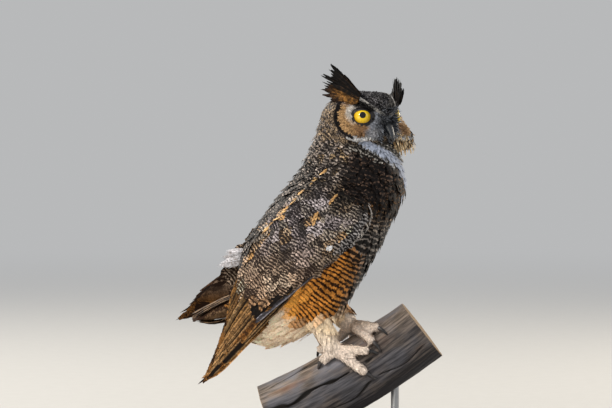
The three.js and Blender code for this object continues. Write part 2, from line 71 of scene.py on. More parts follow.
# Lines of the body in side view, (x, z) in the body's frame, from head to tail.
BACK_LINE = [
    (-13, 520), (-24, 490), (-38, 458), (-60, 428), (-100, 376), (-126, 330), (-135, 300), (-160, 262)
]  # fmt: skip
FRONT_LINE = [(108, 466), (114, 432), (106, 402), (76, 332), (36, 266), (0, 222), (-50, 200), (-110, 196)]
WING_LINES = {
    "right": [(46, 440), (-65, 287), (-180, 140)],
    "left": [(43, 430), (-57, 326), (-227, 226)],
}
TAIL_LINE = [(-62, 300), (-197, 236)]
ANKLES = {"right": (-4.0, -35.0, 192.0), "left": (50.0, 13.0, 226.0)}


# ---- Small helpers ----
def unit(v):
    return v / np.maximum(np.linalg.norm(v, axis=-1, keepdims=True), 1e-9)


def dot(a, b):
    return (a * b).sum(-1)


def size(v):
    """Lengths of vectors."""
    return np.linalg.norm(v, axis=-1)


def smooth(x, low, high):
    """0 below low, 1 above high, with a soft step between; low may be the larger."""
    t = np.clip((x - low) / (high - low), 0, 1)
    return t * t * (3 - 2 * t)


def mix(a, b, t):
    return a + (b - a) * t


def turned(p, yaw):
    """Points turned about Z by yaw."""
    c, s = math.cos(yaw), math.sin(yaw)
    return np.stack([c * p[..., 0] - s * p[..., 1], s * p[..., 0] + c * p[..., 1], p[..., 2]], -1)


def to_body(p):
    return turned(p - BODY_PIVOT, -BODY_YAW) + BODY_PIVOT


def from_body(p):
    return turned(p - BODY_PIVOT, BODY_YAW) + BODY_PIVOT


def to_head(p):
    return turned(p - HEAD_CENTRE, -HEAD_YAW)


def from_head(p):
    return turned(p, HEAD_YAW) + HEAD_CENTRE


def lattice(cell, seed):
    """A repeatable number from 0 to 1 on each whole-number place."""
    c = cell.astype(np.int64).astype(np.uint32)
    h = (c * np.array([374761393, 668265263, 2246822519], np.uint32)).sum(-1, dtype=np.uint32)
    h = h + np.uint32(seed * 3266489917 % 2**32)
    h = (h ^ (h >> np.uint32(15))) * np.uint32(2246822519)
    h = (h ^ (h >> np.uint32(13))) * np.uint32(3266489917)
    return ((h ^ (h >> np.uint32(16))) & np.uint32(0xFFFFFF)) / 0xFFFFFF


def noise(p, lump, seed=0):
    """Smooth noise from -1 to 1 whose lumps have the given size, one number or one for each axis."""
    q = p / lump
    base = np.floor(q)
    t = q - base
    t = t * t * (3 - 2 * t)
    total = np.zeros(p.shape[:-1])
    for corner in itertools.product((0, 1), repeat=3):
        weight = np.prod(np.where(corner, t, 1 - t), axis=-1)
        total += weight * lattice(base + corner, seed)
    return 2 * total - 1


def linear(code):
    """A '#rrggbb' colour as three linear values."""
    s = np.array([int(code[i : i + 2], 16) / 255 for i in (1, 3, 5)])
    return np.where(s <= 0.04045, s / 12.92, ((s + 0.055) / 1.055) ** 2.4)


def shades_between(rng, codes, count, power=1):
    """A colour between two for each of count feathers."""
    return mix(linear(codes[0]), linear(codes[1]), rng.random((count, 1)) ** power)


# ---- Meshes ----
def read(items, field, width=1, kind=np.int32):
    """One field of all of a mesh's points, edges or the like, as rows of the given width."""
    out = np.empty(len(items) * width, kind)
    items.foreach_get(field, out)
    return out.reshape(-1, width) if width > 1 else out


def add_object(name, data):
    made = bpy.data.objects.new(name, data)
    bpy.context.scene.collection.objects.link(made)
    return made


def mesh_from(name, points, faces):
    """A mesh object from points in millimetres and faces that all have the same number of corners."""
    mesh = bpy.data.meshes.new(name)
    faces = np.asarray(faces, np.int32)
    mesh.vertices.add(len(points))
    mesh.vertices.foreach_set("co", (np.asarray(points) * MM).astype(np.float32).ravel())
    mesh.loops.add(faces.size)
    mesh.loops.foreach_set("vertex_index", faces.ravel())
    mesh.polygons.add(len(faces))
    mesh.polygons.foreach_set("loop_start", np.arange(0, faces.size, faces.shape[1], dtype=np.int32))
    mesh.update(calc_edges=True)
    mesh.shade_smooth()
    return add_object(name, mesh)


def arrays_of(mesh):
    """A mesh's points in millimetres and its triangles."""
    mesh.calc_loop_triangles()
    points = read(mesh.vertices, "co", 3, np.float32).astype(float) / MM
    return points, read(mesh.loop_triangles, "vertices", 3)


def normals_of(mesh):
    return read(mesh.vertex_normals, "vector", 3, np.float32).astype(float)


def tag(piece, **values):
    """Stores arrays on a piece's points: one, three or four numbers to a point."""
    kinds = {1: ("FLOAT", "value"), 3: ("FLOAT_VECTOR", "vector"), 4: ("FLOAT_COLOR", "color")}
    for name, array in values.items():
        array = np.asarray(array, np.float32)
        kind, field = kinds[1 if array.ndim == 1 else array.shape[1]]
        piece.data.attributes.new(name, kind, "POINT").data.foreach_set(field, array.ravel())


def bake_map(piece, uv):
    """A UV map for baking from one place to each point."""
    uv = uv[read(piece.data.loops, "vertex_index")]
    piece.data.uv_layers.new(name="OFBake").data.foreach_set("uv", uv.astype(np.float32).ravel())


def finished(piece, material, slot, *nodes):
    """Gives a piece its material and hides the nodes that it stands for; the slot is not used."""
    piece.data.materials.append(material)
    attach(piece, "root")
    if nodes:
        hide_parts(*nodes)


def joined_solids(names):
    """The points and triangles of several nodes as one set."""
    solids = [arrays_of(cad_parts[name].data) for name in names]
    starts = np.cumsum([0] + [len(points) for points, _ in solids])
    return np.vstack([p for p, _ in solids]), np.vstack([f + k for (_, f), k in zip(solids, starts)])


def remeshed(name, nodes, voxel):
    """A new object: the nodes' closed solids as one even mesh of quads."""
    source = mesh_from(name + "_source", *joined_solids(nodes))
    modifier = source.modifiers.new("even", "REMESH")
    modifier.mode, modifier.voxel_size = "VOXEL", voxel * MM
    graph = bpy.context.evaluated_depsgraph_get()
    mesh = bpy.data.meshes.new_from_object(source.evaluated_get(graph))
    mesh.name = name
    bpy.data.objects.remove(source)
    mesh.shade_smooth()
    return add_object(name, mesh)


def set_points(piece, points):
    piece.data.vertices.foreach_set("co", (points * MM).astype(np.float32).ravel())
    piece.data.update()


def relaxed(piece, values, rounds, weight=0.5):
    """Values at a piece's points, averaged with their neighbours."""
    a, b = read(piece.data.edges, "vertices", 2).T
    count = np.bincount(a, minlength=len(values)) + np.bincount(b, minlength=len(values))
    flat = values.reshape(len(values), -1).astype(float)
    for _ in range(rounds):
        total = np.empty_like(flat)
        for k in range(flat.shape[1]):
            total[:, k] = np.bincount(a, flat[b, k], len(flat)) + np.bincount(b, flat[a, k], len(flat))
        flat = mix(flat, total / np.maximum(count, 1)[:, None], weight)
    return flat.reshape(values.shape)


class Surface:
    """Triangles to walk on: nearest places and rays."""

    def __init__(self, points, triangles):
        self.tree = BVHTree.FromPolygons(points.tolist(), triangles.tolist())

    def nearest(self, places):
        """Nearest places and their triangles."""
        found = [self.tree.find_nearest(p) for p in places.tolist()]
        return np.array([f[0] for f in found]), np.array([f[2] for f in found], int)

    def ray(self, start, way):
        """Where rays first meet the surface, or NaN where they miss."""
        found = [self.tree.ray_cast(Vector(s), Vector(w)) for s, w in zip(start.tolist(), way.tolist())]
        miss = (math.nan,) * 3
        return np.array([tuple(f[0]) if f[0] else miss for f in found])


# ---- Materials ----
class Nodes:
    """Builds one material's node tree."""

    def __init__(self, name):
        self.material = bpy.data.materials.new(name)
        self.material.use_nodes = True
        self.tree = self.material.node_tree
        self.shader = self.tree.nodes["Principled BSDF"]
        self.add, self.sub, self.mul = (partial(self.math, way) for way in ("ADD", "SUBTRACT", "MULTIPLY"))

    def link(self, value, socket):
        if isinstance(value, bpy.types.NodeSocket):
            self.tree.links.new(value, socket)
        elif value is not None:
            socket.default_value = value

    def node(self, kind, inputs=None, **settings):
        made = self.tree.nodes.new(kind)
        for key, value in settings.items():
            setattr(made, key, value)
        for key, value in (inputs or {}).items():
            self.link(value, made.inputs[key])
        return made

    def math(self, operation, a, b=None):
        return self.node("ShaderNodeMath", {0: a, 1: b}, operation=operation).outputs[0]

    def attribute(self, name):
        return self.node("ShaderNodeAttribute", attribute_name=name)

    def split(self, vector):
        return self.node("ShaderNodeSeparateXYZ", {0: vector}).outputs

    def place(self):
        return self.node("ShaderNodeTexCoord").outputs["Object"]

    def stretched(self, vector, scale):
        return self.node("ShaderNodeMapping", {"Vector": vector, "Scale": scale}).outputs[0]

    def noise(self, vector, scale, detail=2.0, roughness=0.5):
        inputs = {"Vector": vector, "Scale": scale, "Detail": detail, "Roughness": roughness}
        return self.node("ShaderNodeTexNoise", inputs).outputs["Fac"]

    def step(self, value, low, high, bottom=0.0, top=1.0):
        """Moves smoothly from bottom to top as value goes from low to high."""
        inputs = {0: value, 1: low, 2: high, 3: bottom, 4: top}
        return self.node("ShaderNodeMapRange", inputs, interpolation_type="SMOOTHSTEP").outputs[0]

    def blend(self, amount, a, b):
        made = self.node("ShaderNodeMix", data_type="RGBA")
        self.link(amount, made.inputs["Factor"])
        for value, socket in ((a, made.inputs[6]), (b, made.inputs[7])):
            self.link((*linear(value), 1.0) if isinstance(value, str) else value, socket)
        return made.outputs[2]

    def bump(self, height, strength, distance):
        inputs = {"Height": height, "Strength": strength, "Distance": distance}
        self.link(self.node("ShaderNodeBump", inputs).outputs[0], self.shader.inputs["Normal"])

    def finish(self, colour, **values):
        """The material, with its colour and other inputs of the shader by their names in small letters."""
        inputs = {socket.name.lower().replace(" ", "_"): socket for socket in self.shader.inputs}
        for key, value in dict(base_color=colour, **values).items():
            self.link(value, inputs[key])
        return self.material


def plumage_material(name, roughness, sheen):
    """Barred and mottled vanes. The points carry ground, mark, vane and pattern:
    vane is across the vane from -1 to 1, millimetres along it, and the bars' phase;
    pattern is the bars' spacing in millimetres, the dark share and the raggedness."""
    n = Nodes(name)
    add, sub, mul = n.add, n.sub, n.mul
    ground, mark = n.attribute("ground"), n.attribute("mark")
    across, along, phase = n.split(n.attribute("vane").outputs["Vector"])
    spacing, share, ragged = n.split(n.attribute("pattern").outputs["Vector"])
    place = n.place()
    apart = n.node("ShaderNodeCombineXYZ", {0: mul(phase, 0.31), 1: mul(phase, 0.17)}).outputs[0]
    own = n.node("ShaderNodeVectorMath", {0: place, 1: apart}, operation="ADD").outputs[0]

    def ruffle(where, scale, gain, base=0.0):
        """Noise about zero that grows with the raggedness."""
        return mul(sub(n.noise(where, scale), 0.5), add(mul(ragged, gain), base))

    wander = add(ruffle(own, 95.0, 0.7, 0.4), ruffle(own, 420.0, 1.6))
    bow = mul(mul(across, across), -0.15)
    count = add(n.math("DIVIDE", along, spacing), phase)
    wave = n.math("FRACT", add(add(count, wander), bow))
    rise = n.math("ABSOLUTE", sub(mul(wave, 2.0), 1.0))
    dark_share = add(share, ruffle(place, 120.0, 0.9))
    bars = n.step(rise, sub(dark_share, 0.14), add(dark_share, 0.14), 1.0, 0.0)
    blots = mul(n.step(n.noise(own, 150.0, 2.0, 0.6), 0.54, 0.62), ragged)
    dark = n.math("MAXIMUM", bars, mul(blots, n.step(share, 0.2, 0.5)))
    grain = n.noise(place, 700.0, 2.0, 0.65)
    amount = mul(mul(dark, mark.outputs["Alpha"]), n.step(grain, 0.25, 0.45, 0.88, 1.0))
    flecks = sub(n.step(n.noise(place, 380.0, 3.0, 0.7), 0.3, 0.7), 0.45)
    flecks = add(mul(flecks, add(mul(ragged, 1.1), 0.25)), 1.0)
    pale = n.node("ShaderNodeVectorMath", {0: ground.outputs["Color"]}, operation="SCALE")
    n.link(flecks, pale.inputs["Scale"])
    barbs = n.math("SINE", mul(sub(along, n.math("ABSOLUTE", across)), 5.0))
    n.bump(add(mul(barbs, 0.5), grain), 0.3, 0.0004)
    colour = n.blend(amount, pale.outputs[0], mark.outputs["Color"])
    fuzz = dict(sheen_weight=sheen, sheen_roughness=0.5, specular_ior_level=0.1)
    return n.finish(colour, roughness=roughness, **fuzz)


def grained_material(name, stretch, grain, band, codes, bump, **values):
    """Two tones in a stretched grain; band is where on the grain the tones change, from dark to pale."""
    n = Nodes(name)
    streaks = n.noise(n.stretched(n.place(), stretch), *grain)
    n.bump(streaks, *bump)
    share = n.step(streaks, *band) if band else streaks
    return n.finish(n.blend(share, *codes), **values)


# ---- The skin: one surface for all the flesh, under the coat by its depth ----
COAT_DEPTH = {
    "trunk": 5.0, "neck": 5.0, "head": 3.0, "eye_right": 3.0, "eye_left": 3.0,
    "wing_right": 3.5, "wing_left": 3.5, "leg_right": 2.0, "leg_left": 2.0,
    "primaries_right": 1.0, "primaries_left": 1.0, "tail": 1.0,
}  # fmt: skip
FLESH = tuple(COAT_DEPTH)
PART = {name: k for k, name in enumerate(FLESH)}
SKIN_VOXEL = 1.9
THIN_SHARE = 0.3  # the most of the flesh's thickness that the coat takes up


def outer_part(piece):
    """The points of the piece's largest connected part, as a mask."""
    a, b = read(piece.data.edges, "vertices", 2).T
    group = np.arange(len(piece.data.vertices))
    while True:
        low = np.minimum(group[a], group[b])
        joined = group.copy()
        np.minimum.at(joined, a, low)
        np.minimum.at(joined, b, low)
        joined = joined[joined]
        if (joined == group).all():
            return group == np.bincount(group).argmax()
        group = joined


def make_skin():
    """The skin, its points, the part of the body at each, and how deep under the coat each lies."""
    rough = remeshed("rough_skin", FLESH, SKIN_VOXEL)
    keep = outer_part(rough)
    quads = read(rough.data.loops, "vertex_index").reshape(-1, 4)
    places = arrays_of(rough.data)[0][keep]
    piece = mesh_from("skin", places, (np.cumsum(keep) - 1)[quads[keep[quads[:, 0]]]])
    bpy.data.objects.remove(rough)
    places = relaxed(piece, places, 4)
    set_points(piece, places)
    labels = np.repeat(np.arange(len(FLESH)), [len(joined_solids([name])[1]) for name in FLESH])
    part = labels[Surface(*joined_solids(FLESH)).nearest(places)[1]]
    lie = unit(relaxed(piece, normals_of(piece.data), 3))
    whole = Surface(places, arrays_of(piece.data)[1])
    through = whole.ray(places - lie * 0.6, -lie)
    thick = np.nan_to_num(size(through - places), nan=40.0)
    depth = np.array([COAT_DEPTH[name] for name in FLESH])[part]
    depth = relaxed(piece, np.minimum(depth, thick * THIN_SHARE), 8)
    places = places - lie * depth[:, None]
    set_points(piece, places)
    return piece, places, part, depth


skin, skin_points, skin_part, skin_depth = make_skin()
skin_normals = unit(relaxed(skin, normals_of(skin.data), 2))
skin_triangles = arrays_of(skin.data)[1]
surface = Surface(skin_points, skin_triangles)


def unwrap(piece):
    """The skin's own unwrap, which everything on it is baked by: a place for each corner of each triangle."""
    piece.data.uv_layers.new(name="OFBake")
    bpy.context.view_layer.objects.active = piece
    piece.select_set(True)
    bpy.ops.object.mode_set(mode="EDIT")
    bpy.ops.mesh.select_all(action="SELECT")
    bpy.ops.uv.smart_project(angle_limit=math.radians(66), island_margin=0.001)
    bpy.ops.object.mode_set(mode="OBJECT")
    piece.data.calc_loop_triangles()
    uv = read(piece.data.uv_layers["OFBake"].data, "uv", 2, np.float32)
    return uv[read(piece.data.loop_triangles, "loops", 3)]


skin_uv = unwrap(skin)


def spot(places, triangle=None):
    """The triangle of the skin at each place, and how much each corner of it counts there."""
    if triangle is None:
        triangle = surface.nearest(places)[1]
    a, b, c = (skin_points[skin_triangles[triangle, k]] for k in range(3))
    normal = np.cross(b - a, c - a)
    area = np.maximum(dot(normal, normal), 1e-12)
    wb = dot(np.cross(places - a, c - a), normal) / area
    wc = dot(np.cross(b - a, places - a), normal) / area
    w = np.clip(np.stack([1 - wb - wc, wb, wc], -1), 0, 1)
    return triangle, w / w.sum(-1, keepdims=True)


def skin_value(values, where):
    """Values of the skin's points at places on it, given as spot() does."""
    triangle, weights = where
    corners = values[skin_triangles[triangle]]
    return (corners * weights[..., None] if corners.ndim == 3 else corners * weights).sum(1)


# ---- The lie of the coat ----
Near = namedtuple("Near", "way gap run foot")


def runs_of(line):
    """The millimetres along a flat line at each of its points."""
    return np.concatenate([[0], np.cumsum(size(np.diff(line, axis=0)))])


def along_line(p, line):
    """A flat line's way near points, their gap from it, the millimetres along it and their places on it."""
    line = np.asarray(line, float)
    run = size(np.diff(line, axis=0))
    start = runs_of(line)
    way, near, far, weight, foot = 0, 1e9, 0, 0, p
    for k in range(len(run)):
        d = (line[k + 1] - line[k]) / run[k]
        t = np.clip((p - line[k]) @ d, 0, run[k])
        off = p - line[k] - t[:, None] * d
        gap = size(off)
        w = 1 / (gap + 6) ** 4
        way = way + w[:, None] * d
        far = far + w * (start[k] + t)
        foot = np.where((gap < near)[:, None], p - off, foot)
        near = np.minimum(near, gap)
        weight = weight + w
    return Near(unit(way), near, far / weight, foot)


def side_view(p):
    return to_body(p)[..., [0, 2]]


def level(flat):
    """Pairs (x, z) as points or ways with nothing in y."""
    return np.stack([flat[:, 0], np.zeros(len(flat)), flat[:, 1]], -1)


def from_side(way):
    """Directions in the body's side view as directions in the frame."""
    return turned(level(way), BODY_YAW)


def is_part(part, *names):
    return np.isin(part, [PART[name] for name in names])


def eye_place(side):
    return EYE_AT * [1, side, 1]


def frontness(flat):
    """0 along the back, 1 down the front of the body, from the side view."""
    back, front = along_line(flat, BACK_LINE).gap, along_line(flat, FRONT_LINE).gap
    return back / np.maximum(back + front, 1e-6)


def make_lie():
    """The way the feathers point at each of the skin's points."""
    p, n = skin_points, skin_normals
    flat = side_view(p)
    back, front = along_line(flat, BACK_LINE), along_line(flat, FRONT_LINE)
    f = (back.gap / (back.gap + front.gap))[:, None]
    way = from_side(unit(mix(back.way, front.way, f)))
    for side in SIDES:
        on_wing = is_part(skin_part, f"wing_{side}", f"primaries_{side}")
        way[on_wing] = from_side(along_line(flat[on_wing], WING_LINES[side]).way)
        on_leg = is_part(skin_part, f"leg_{side}")
        q = p[on_leg]
        ankle = np.array(ANKLES[side])
        down = unit(ankle - from_body(np.array([-15.0, 30.0 * SIDES[side], 250.0])))
        toe = smooth(q[:, 2], ankle[2] + 8, ankle[2] - 6)[:, None]
        way[on_leg] = unit(mix(down, unit(q - ankle - [0, 0, 6]), toe))
    on_tail = is_part(skin_part, "tail")
    way[on_tail] = from_side(along_line(flat[on_tail], TAIL_LINE).way)
    h = to_head(p)
    from_bill = unit(h - BILL_BASE)
    low = smooth(h[:, 0], 5, -45)[:, None]
    head_way = unit(from_bill * (1 - 0.8 * low) + np.array([-0.25, 0, -1]) * low)
    for side in SIDES.values():
        away = h - eye_place(side)
        near = smooth(size(away), 44, 30)[:, None] * (side * h[:, 1:2] > 4)
        head_way = mix(head_way, unit(away), 0.75 * near)
    on_head = relaxed(skin, is_part(skin_part, "head", "eye_right", "eye_left").astype(float), 12)[:, None]
    way = mix(way, turned(head_way, HEAD_YAW), on_head)
    for _ in range(6):
        way = unit(way - dot(way, n)[:, None] * n)
        way = relaxed(skin, way, 3)
    return unit(way - dot(way, n)[:, None] * n)


skin_lie = make_lie()


def walk(start, length, steps, yaw):
    """Lines that start at the roots and follow the lie of the coat, with the skin's normals along them."""
    places, ups = [], []
    p, before = start, None
    for _ in range(steps + 1):
        p, triangle = surface.nearest(p)
        where = spot(p, triangle)
        up, way = unit(skin_value(skin_normals, where)), unit(skin_value(skin_lie, where))
        way = way * np.cos(yaw)[:, None] + np.cross(up, way) * np.sin(yaw)[:, None]
        if before is not None:
            way = mix(before, way, 0.4)
        way = unit(way - dot(way, up)[:, None] * up)
        places.append(p)
        ups.append(up)
        p = p + way * (length / steps)[:, None]
        before = way
    return np.stack(places, 1), np.stack(ups, 1)


def scatter(wanted, gap, seed, crowd=5):
    """Roots their gap apart wherever wanted is above a half, both given at the skin's points."""
    rng = np.random.default_rng(seed)
    chosen = np.flatnonzero(wanted[skin_triangles].mean(1) > 0.5)
    a, b, c = (skin_points[skin_triangles[chosen, k]] for k in range(3))
    near = gap[skin_triangles[chosen]].mean(1)
    share = size(np.cross(b - a, c - a)) / 2 / near**2
    pick = rng.choice(len(chosen), int(crowd * share.sum()), p=share / share.sum())
    u, v = rng.random((2, len(pick), 1))
    over = u + v > 1
    u, v = np.where(over, 1 - u, u), np.where(over, 1 - v, v)
    places = a[pick] + (b - a)[pick] * u + (c - a)[pick] * v
    tree = KDTree(len(pick))
    for k, place in enumerate(places.tolist()):
        tree.insert(place, k)
    tree.balance()
    free = np.ones(len(pick), bool)
    kept = []
    for k, (place, reach) in enumerate(zip(places.tolist(), near[pick].tolist())):
        if free[k]:
            kept.append(k)
            for found in tree.find_range(place, reach):
                free[found[1]] = False
    return places[kept], chosen[pick[kept]]


# ---- Colours and markings, the same for skin and coat ----
# The bib's middle as seen from the right, (x, z), and its half widths.
BIB_VIEW = ((45, 491.6), (63.8, 482.9), (84, 471.3), (99, 455.3))
BIB_RADII = (4, 6.5, 8.5, 11, 10.5, 6)
BIB_DROP = ((-20, 436), (-17, 409))  # its lower end down the front of the breast, (y, z)
BIB_RAYS = [((x, -300, z), (0, 1, 0)) for x, z in BIB_VIEW] + [((300, y, z), (-1, 0, 0)) for y, z in BIB_DROP]
BIB = to_body(surface.ray(*np.array(BIB_RAYS, float).swapaxes(0, 1)))
WING_FRONT = [(70, 432), (72, 400), (62, 375), (47, 354), (30, 338)]
ORANGE_EDGE = ((240, 16), (275, 26), (315, 38), (348, 28), (392, -12))  # where the belly turns orange: (z, x)
LILAC_PATCHES = (((-4, 408), 25), ((-6, 366), 16), ((-62, 352), 15), ((-30, 318), 18))
SCAPULAR_LINE = [(6, 450), (-23, 423), (-49, 394), (-74, 370), (-92, 348), (-105, 323)]


def bib_share(p):
    """How far a point lies in the white bib below the bill, which runs down the breast."""
    body = to_body(p)
    most = np.zeros(len(p))
    for flip in (1, -1):
        line = BIB if flip == 1 else np.vstack([BIB[:4] * [1, -1, 1], BIB[4:5]])
        for a, b, ra, rb in zip(line, line[1:], BIB_RADII, BIB_RADII[1:]):
            d = b - a
            t = np.clip((body - a) @ d / (d @ d), 0, 1)
            gap = size(body - a - t[:, None] * d) / mix(ra, rb, t)
            most = np.maximum(most, smooth(gap, 1.15, 0.75))
    return most


def painter(look):
    """A brush that moves a look's colours and numbers towards new ones, by a weight for each point."""

    def paint(weight, ground=None, mark=None, **values):
        values.update({name: linear(code) for name, code in (("ground", ground), ("mark", mark)) if code})
        for name, value in values.items():
            look[name] = mix(look[name], value, weight[:, None] if look[name].ndim == 2 else weight)

    return paint


def plumage_look(p, part):
    """The coat's colours and pattern at points of the given parts."""
    count = len(p)
    look = {"ground": np.tile(linear("#bcae9f"), (count, 1)), "mark": np.tile(linear("#161213"), (count, 1))}
    start = dict(amount=0.98, spacing=4.6, share=0.6, ragged=0.6, streak=0.6, coherent=0.0)
    look.update({name: np.full(count, value) for name, value in start.items()})
    paint, flat, h = painter(look), side_view(p), to_head(p)
    x, y, z = to_body(p).T
    f = frontness(flat)
    lumps, fine = noise(p, 30.0, 11), noise(p, 9.0, 12)

    # The back and the folded wings: black-brown with pale wavy bars, in darker and lighter patches.
    wings = is_part(part, "wing_right", "wing_left", "primaries_right", "primaries_left").astype(float)
    blots, tint = noise(p, 13.0, 13), noise(p, 21.0, 14)
    paint(smooth(tint, 0.1, 0.45), "#c39c6e")
    paint(smooth(tint, -0.1, -0.45), "#a79b9c")
    for centre, reach in LILAC_PATCHES:
        lilac = smooth(size(flat - centre) + 9 * fine, reach, 0.4 * reach)
        paint(lilac, "#c4b9bb", share=0.46)
    down_wing = smooth(z, 372, 282)
    paint(wings * down_wing * 0.9, "#b99b80", "#23160f", share=0.55)
    paint(wings * down_wing * smooth(tint, 0.0, 0.4), "#c7b29c")
    paint(wings * smooth(z, 276, 250), "#a8743c", "#1c0f08", share=0.62, spacing=9)
    paint(smooth(blots + 0.5 * lumps, 0.15, 0.42), share=0.9)
    paint(smooth(blots + 0.5 * lumps, -0.2, -0.5), share=0.4)
    shoulder = smooth(size((flat - [46, 424]) / [1, 0.9]) + 12 * lumps, 46, 28)
    shoulder = shoulder * smooth(f, 0.2, 0.45)
    paint(shoulder, "#93826f", "#070607", share=0.86, spacing=6)
    brim = smooth(along_line(flat, WING_FRONT).gap, 13, 7) * wings * smooth(z, 412, 396)
    paint(brim, "#a8a2a0", "#0f0d0d", share=0.66, spacing=5.2, streak=0.1, ragged=0.3)

    # The breast is black and tawny, the belly barred, grey in front and orange to the rear.
    ahead = smooth(f, 0.42, 0.6) * (1 - wings)
    high = smooth(z, 360, 392)
    paint(ahead * high, "#b98445", "#080607", share=0.7, streak=0.85, ragged=0.6, spacing=9)
    paint(ahead * high * smooth(lumps, -0.15, 0.25), "#54402f", share=0.84)
    belly = ahead * (1 - high)
    # The belly's ground is a dark grey-brown with dense black bars and is kept along the front's middle
    # below. Its darkness is partly its own barring and partly painted shade on the front.
    paint(belly, "#7b726b", "#070505", share=0.72, streak=0.0, ragged=0.35, spacing=7.8, coherent=1)
    edge = np.interp(z, *zip(*ORANGE_EDGE))
    middle = smooth(np.abs(y + 2), 34, 12)
    fawn = smooth(x + 10 * middle - edge - 12 + 8 * lumps, 12, -14) * (1 - 0.7 * middle)
    paint(belly * fawn, "#96683a", "#120a06", share=0.6)
    rear = smooth(x + 22 * middle - edge + 9 * lumps, 12, -20)
    paint(belly * rear, "#cf873a", "#1e0c04", share=0.47)
    rearmost = smooth(x - 0.5 * (z - 280) + 6 * lumps, -14, -40)
    paint(belly * rearmost, "#efa74a", "#4a2308", share=0.18, amount=0.45)
    thighs = belly * smooth(z - 0.3 * x + 4 * lumps, 246, 230) * smooth(x, 44, 24)
    paint(thighs, "#e6cfae", "#6a4a2c", amount=0.3, share=0.2, ragged=0.2)
    groin = belly * smooth(z + 4 * lumps, 262, 246) * smooth(x, 14, 30)
    paint(groin, "#a9743a", "#3a2110", share=0.5)
    under = ahead * smooth(x + 0.5 * (z - 240) + 5 * fine, -42, -68)
    paint(under, "#ffe6c8", "#a0703c", share=0.14, amount=0.22, spacing=14, ragged=0.2)

    neck = smooth(z - 0.35 * x, 412, 432) * (1 - ahead)
    paint(neck, "#9d9086", "#171313", share=0.68, spacing=5.5, streak=0.4)
    back = (1 - ahead) * (1 - wings) * smooth(f, 0.35, 0.15)
    paint(neck * smooth(fine, 0.1, 0.6), "#a08766")
    paint(back * smooth(z, 470, 450), "#a3968c", "#0b0a0c", share=0.8, spacing=4.6)
    throat = size((flat - [68, 442]) / [1, 1.1]) + 10 * lumps
    paint(smooth(throat, 48, 30) * (1 - wings), "#5f4b3e", "#080607", share=0.86, spacing=7, coherent=0)
    scapulars = along_line(flat, SCAPULAR_LINE)
    spots = smooth(scapulars.gap + 7 * fine, 7.5, 4) * smooth(noise(p, 8.0, 15), 0.16, 0.28)
    spots = spots * smooth(scapulars.run, 70, 86)
    below = smooth(size(flat - scapulars.foot - [6, -6]), 8, 4)
    paint(below * (1 - ahead), share=0.9)
    paint(spots * (1 - ahead), "#cf9f66", share=0.34, streak=0.25)

    tail = is_part(part, "tail").astype(float)
    paint(tail, "#9b7c5c", "#2a1a11", share=0.5, spacing=14, coherent=0, ragged=0.4)

    for side in SIDES:
        leg = is_part(part, f"leg_{side}").astype(float)
        ankle = np.array(ANKLES[side])
        low = smooth(p[:, 2], ankle[2] + 26, ankle[2] - 6)
        paint(leg, "#e6d2b8", "#7a5f45", amount=0.15, share=0.16, streak=0, coherent=0, ragged=0.2)
        paint(leg * low, "#dccdc0", amount=0.1)
        paint(leg * smooth(p[:, 2], ankle[2] + 34, ankle[2] + 52), "#e0a560", amount=0.4)

    head = is_part(part, "head", "eye_right", "eye_left").astype(float)
    head = np.maximum(head, smooth(size(h / [1, 1, 0.95]), 66, 58) * (1 - ahead))
    paint_head(paint, look, head, h, p)
    # The bib is white; here it is painted a shaded blue-grey, which is painted shade over the white.
    bib = bib_share(p) * (1 - wings)
    paint(bib, "#9ba2b2", "#757982", amount=0.04, streak=0, coherent=0, ragged=0)
    return look


FACE_SHIFT = (1.0, -1.7)

# The lids' inner and outer edges, millimetres from the eye's middle: outward, towards the bill, up, down.
LID_INNER = (12.3, 11.6, 7.0, 10.5)
LID_OUTER = (16.8, 19.4, 12.0, 14.0)

# The facial disc's edge: degrees round the eye (0 outward, 90 up) and millimetres from its middle.
DISC_EDGE = (
    (-180, 46), (-130, 41), (-101, 32), (-58, 33), (-34, 36), (-4, 38), (27, 35), (45, 34), (70, 31),
    (95, 27), (180, 46),
)  # fmt: skip


def disc_edge(turn):
    """The facial disc's edge, at degrees round the eye."""
    return np.interp(turn, *zip(*DISC_EDGE))


def face_axes(side):
    """The ways ahead and outward by which the face's markings are laid out, in the head's frame."""
    c, s = math.cos(FACE_OUT), math.sin(FACE_OUT)
    return np.array([c, side * s, 0.0]), np.array([-s, side * c, 0.0])


def face_map(h, side):
    """Millimetres outward and up from an eye as the markings see it, and in front of its centre."""
    ahead, out = face_axes(side)
    q = h - eye_place(side)
    return q @ out + FACE_SHIFT[0], q[:, 2] + FACE_SHIFT[1], q @ ahead


def round_eye(u, v):
    """The distance from an eye and the degrees round it."""
    return np.hypot(u, v), np.degrees(np.arctan2(v, u))


def almond(turn, sizes, power=2.2):
    """The distance to a rounded eye shape's edge at each angle, with a point towards the bill."""
    outward, inward, high, low = sizes
    a, b = np.cos(np.radians(turn)), np.sin(np.radians(turn))
    wide, tall = np.where(a > 0, outward, inward), np.where(b > 0, high, low)
    return 1 / (np.abs(a / wide) ** power + np.abs(b / tall) ** power) ** (1 / power)


CROWN_LOOK = dict(ground="#7d7a7c", mark="#08070a", spacing=3.6, amount=1, ragged=0.6)


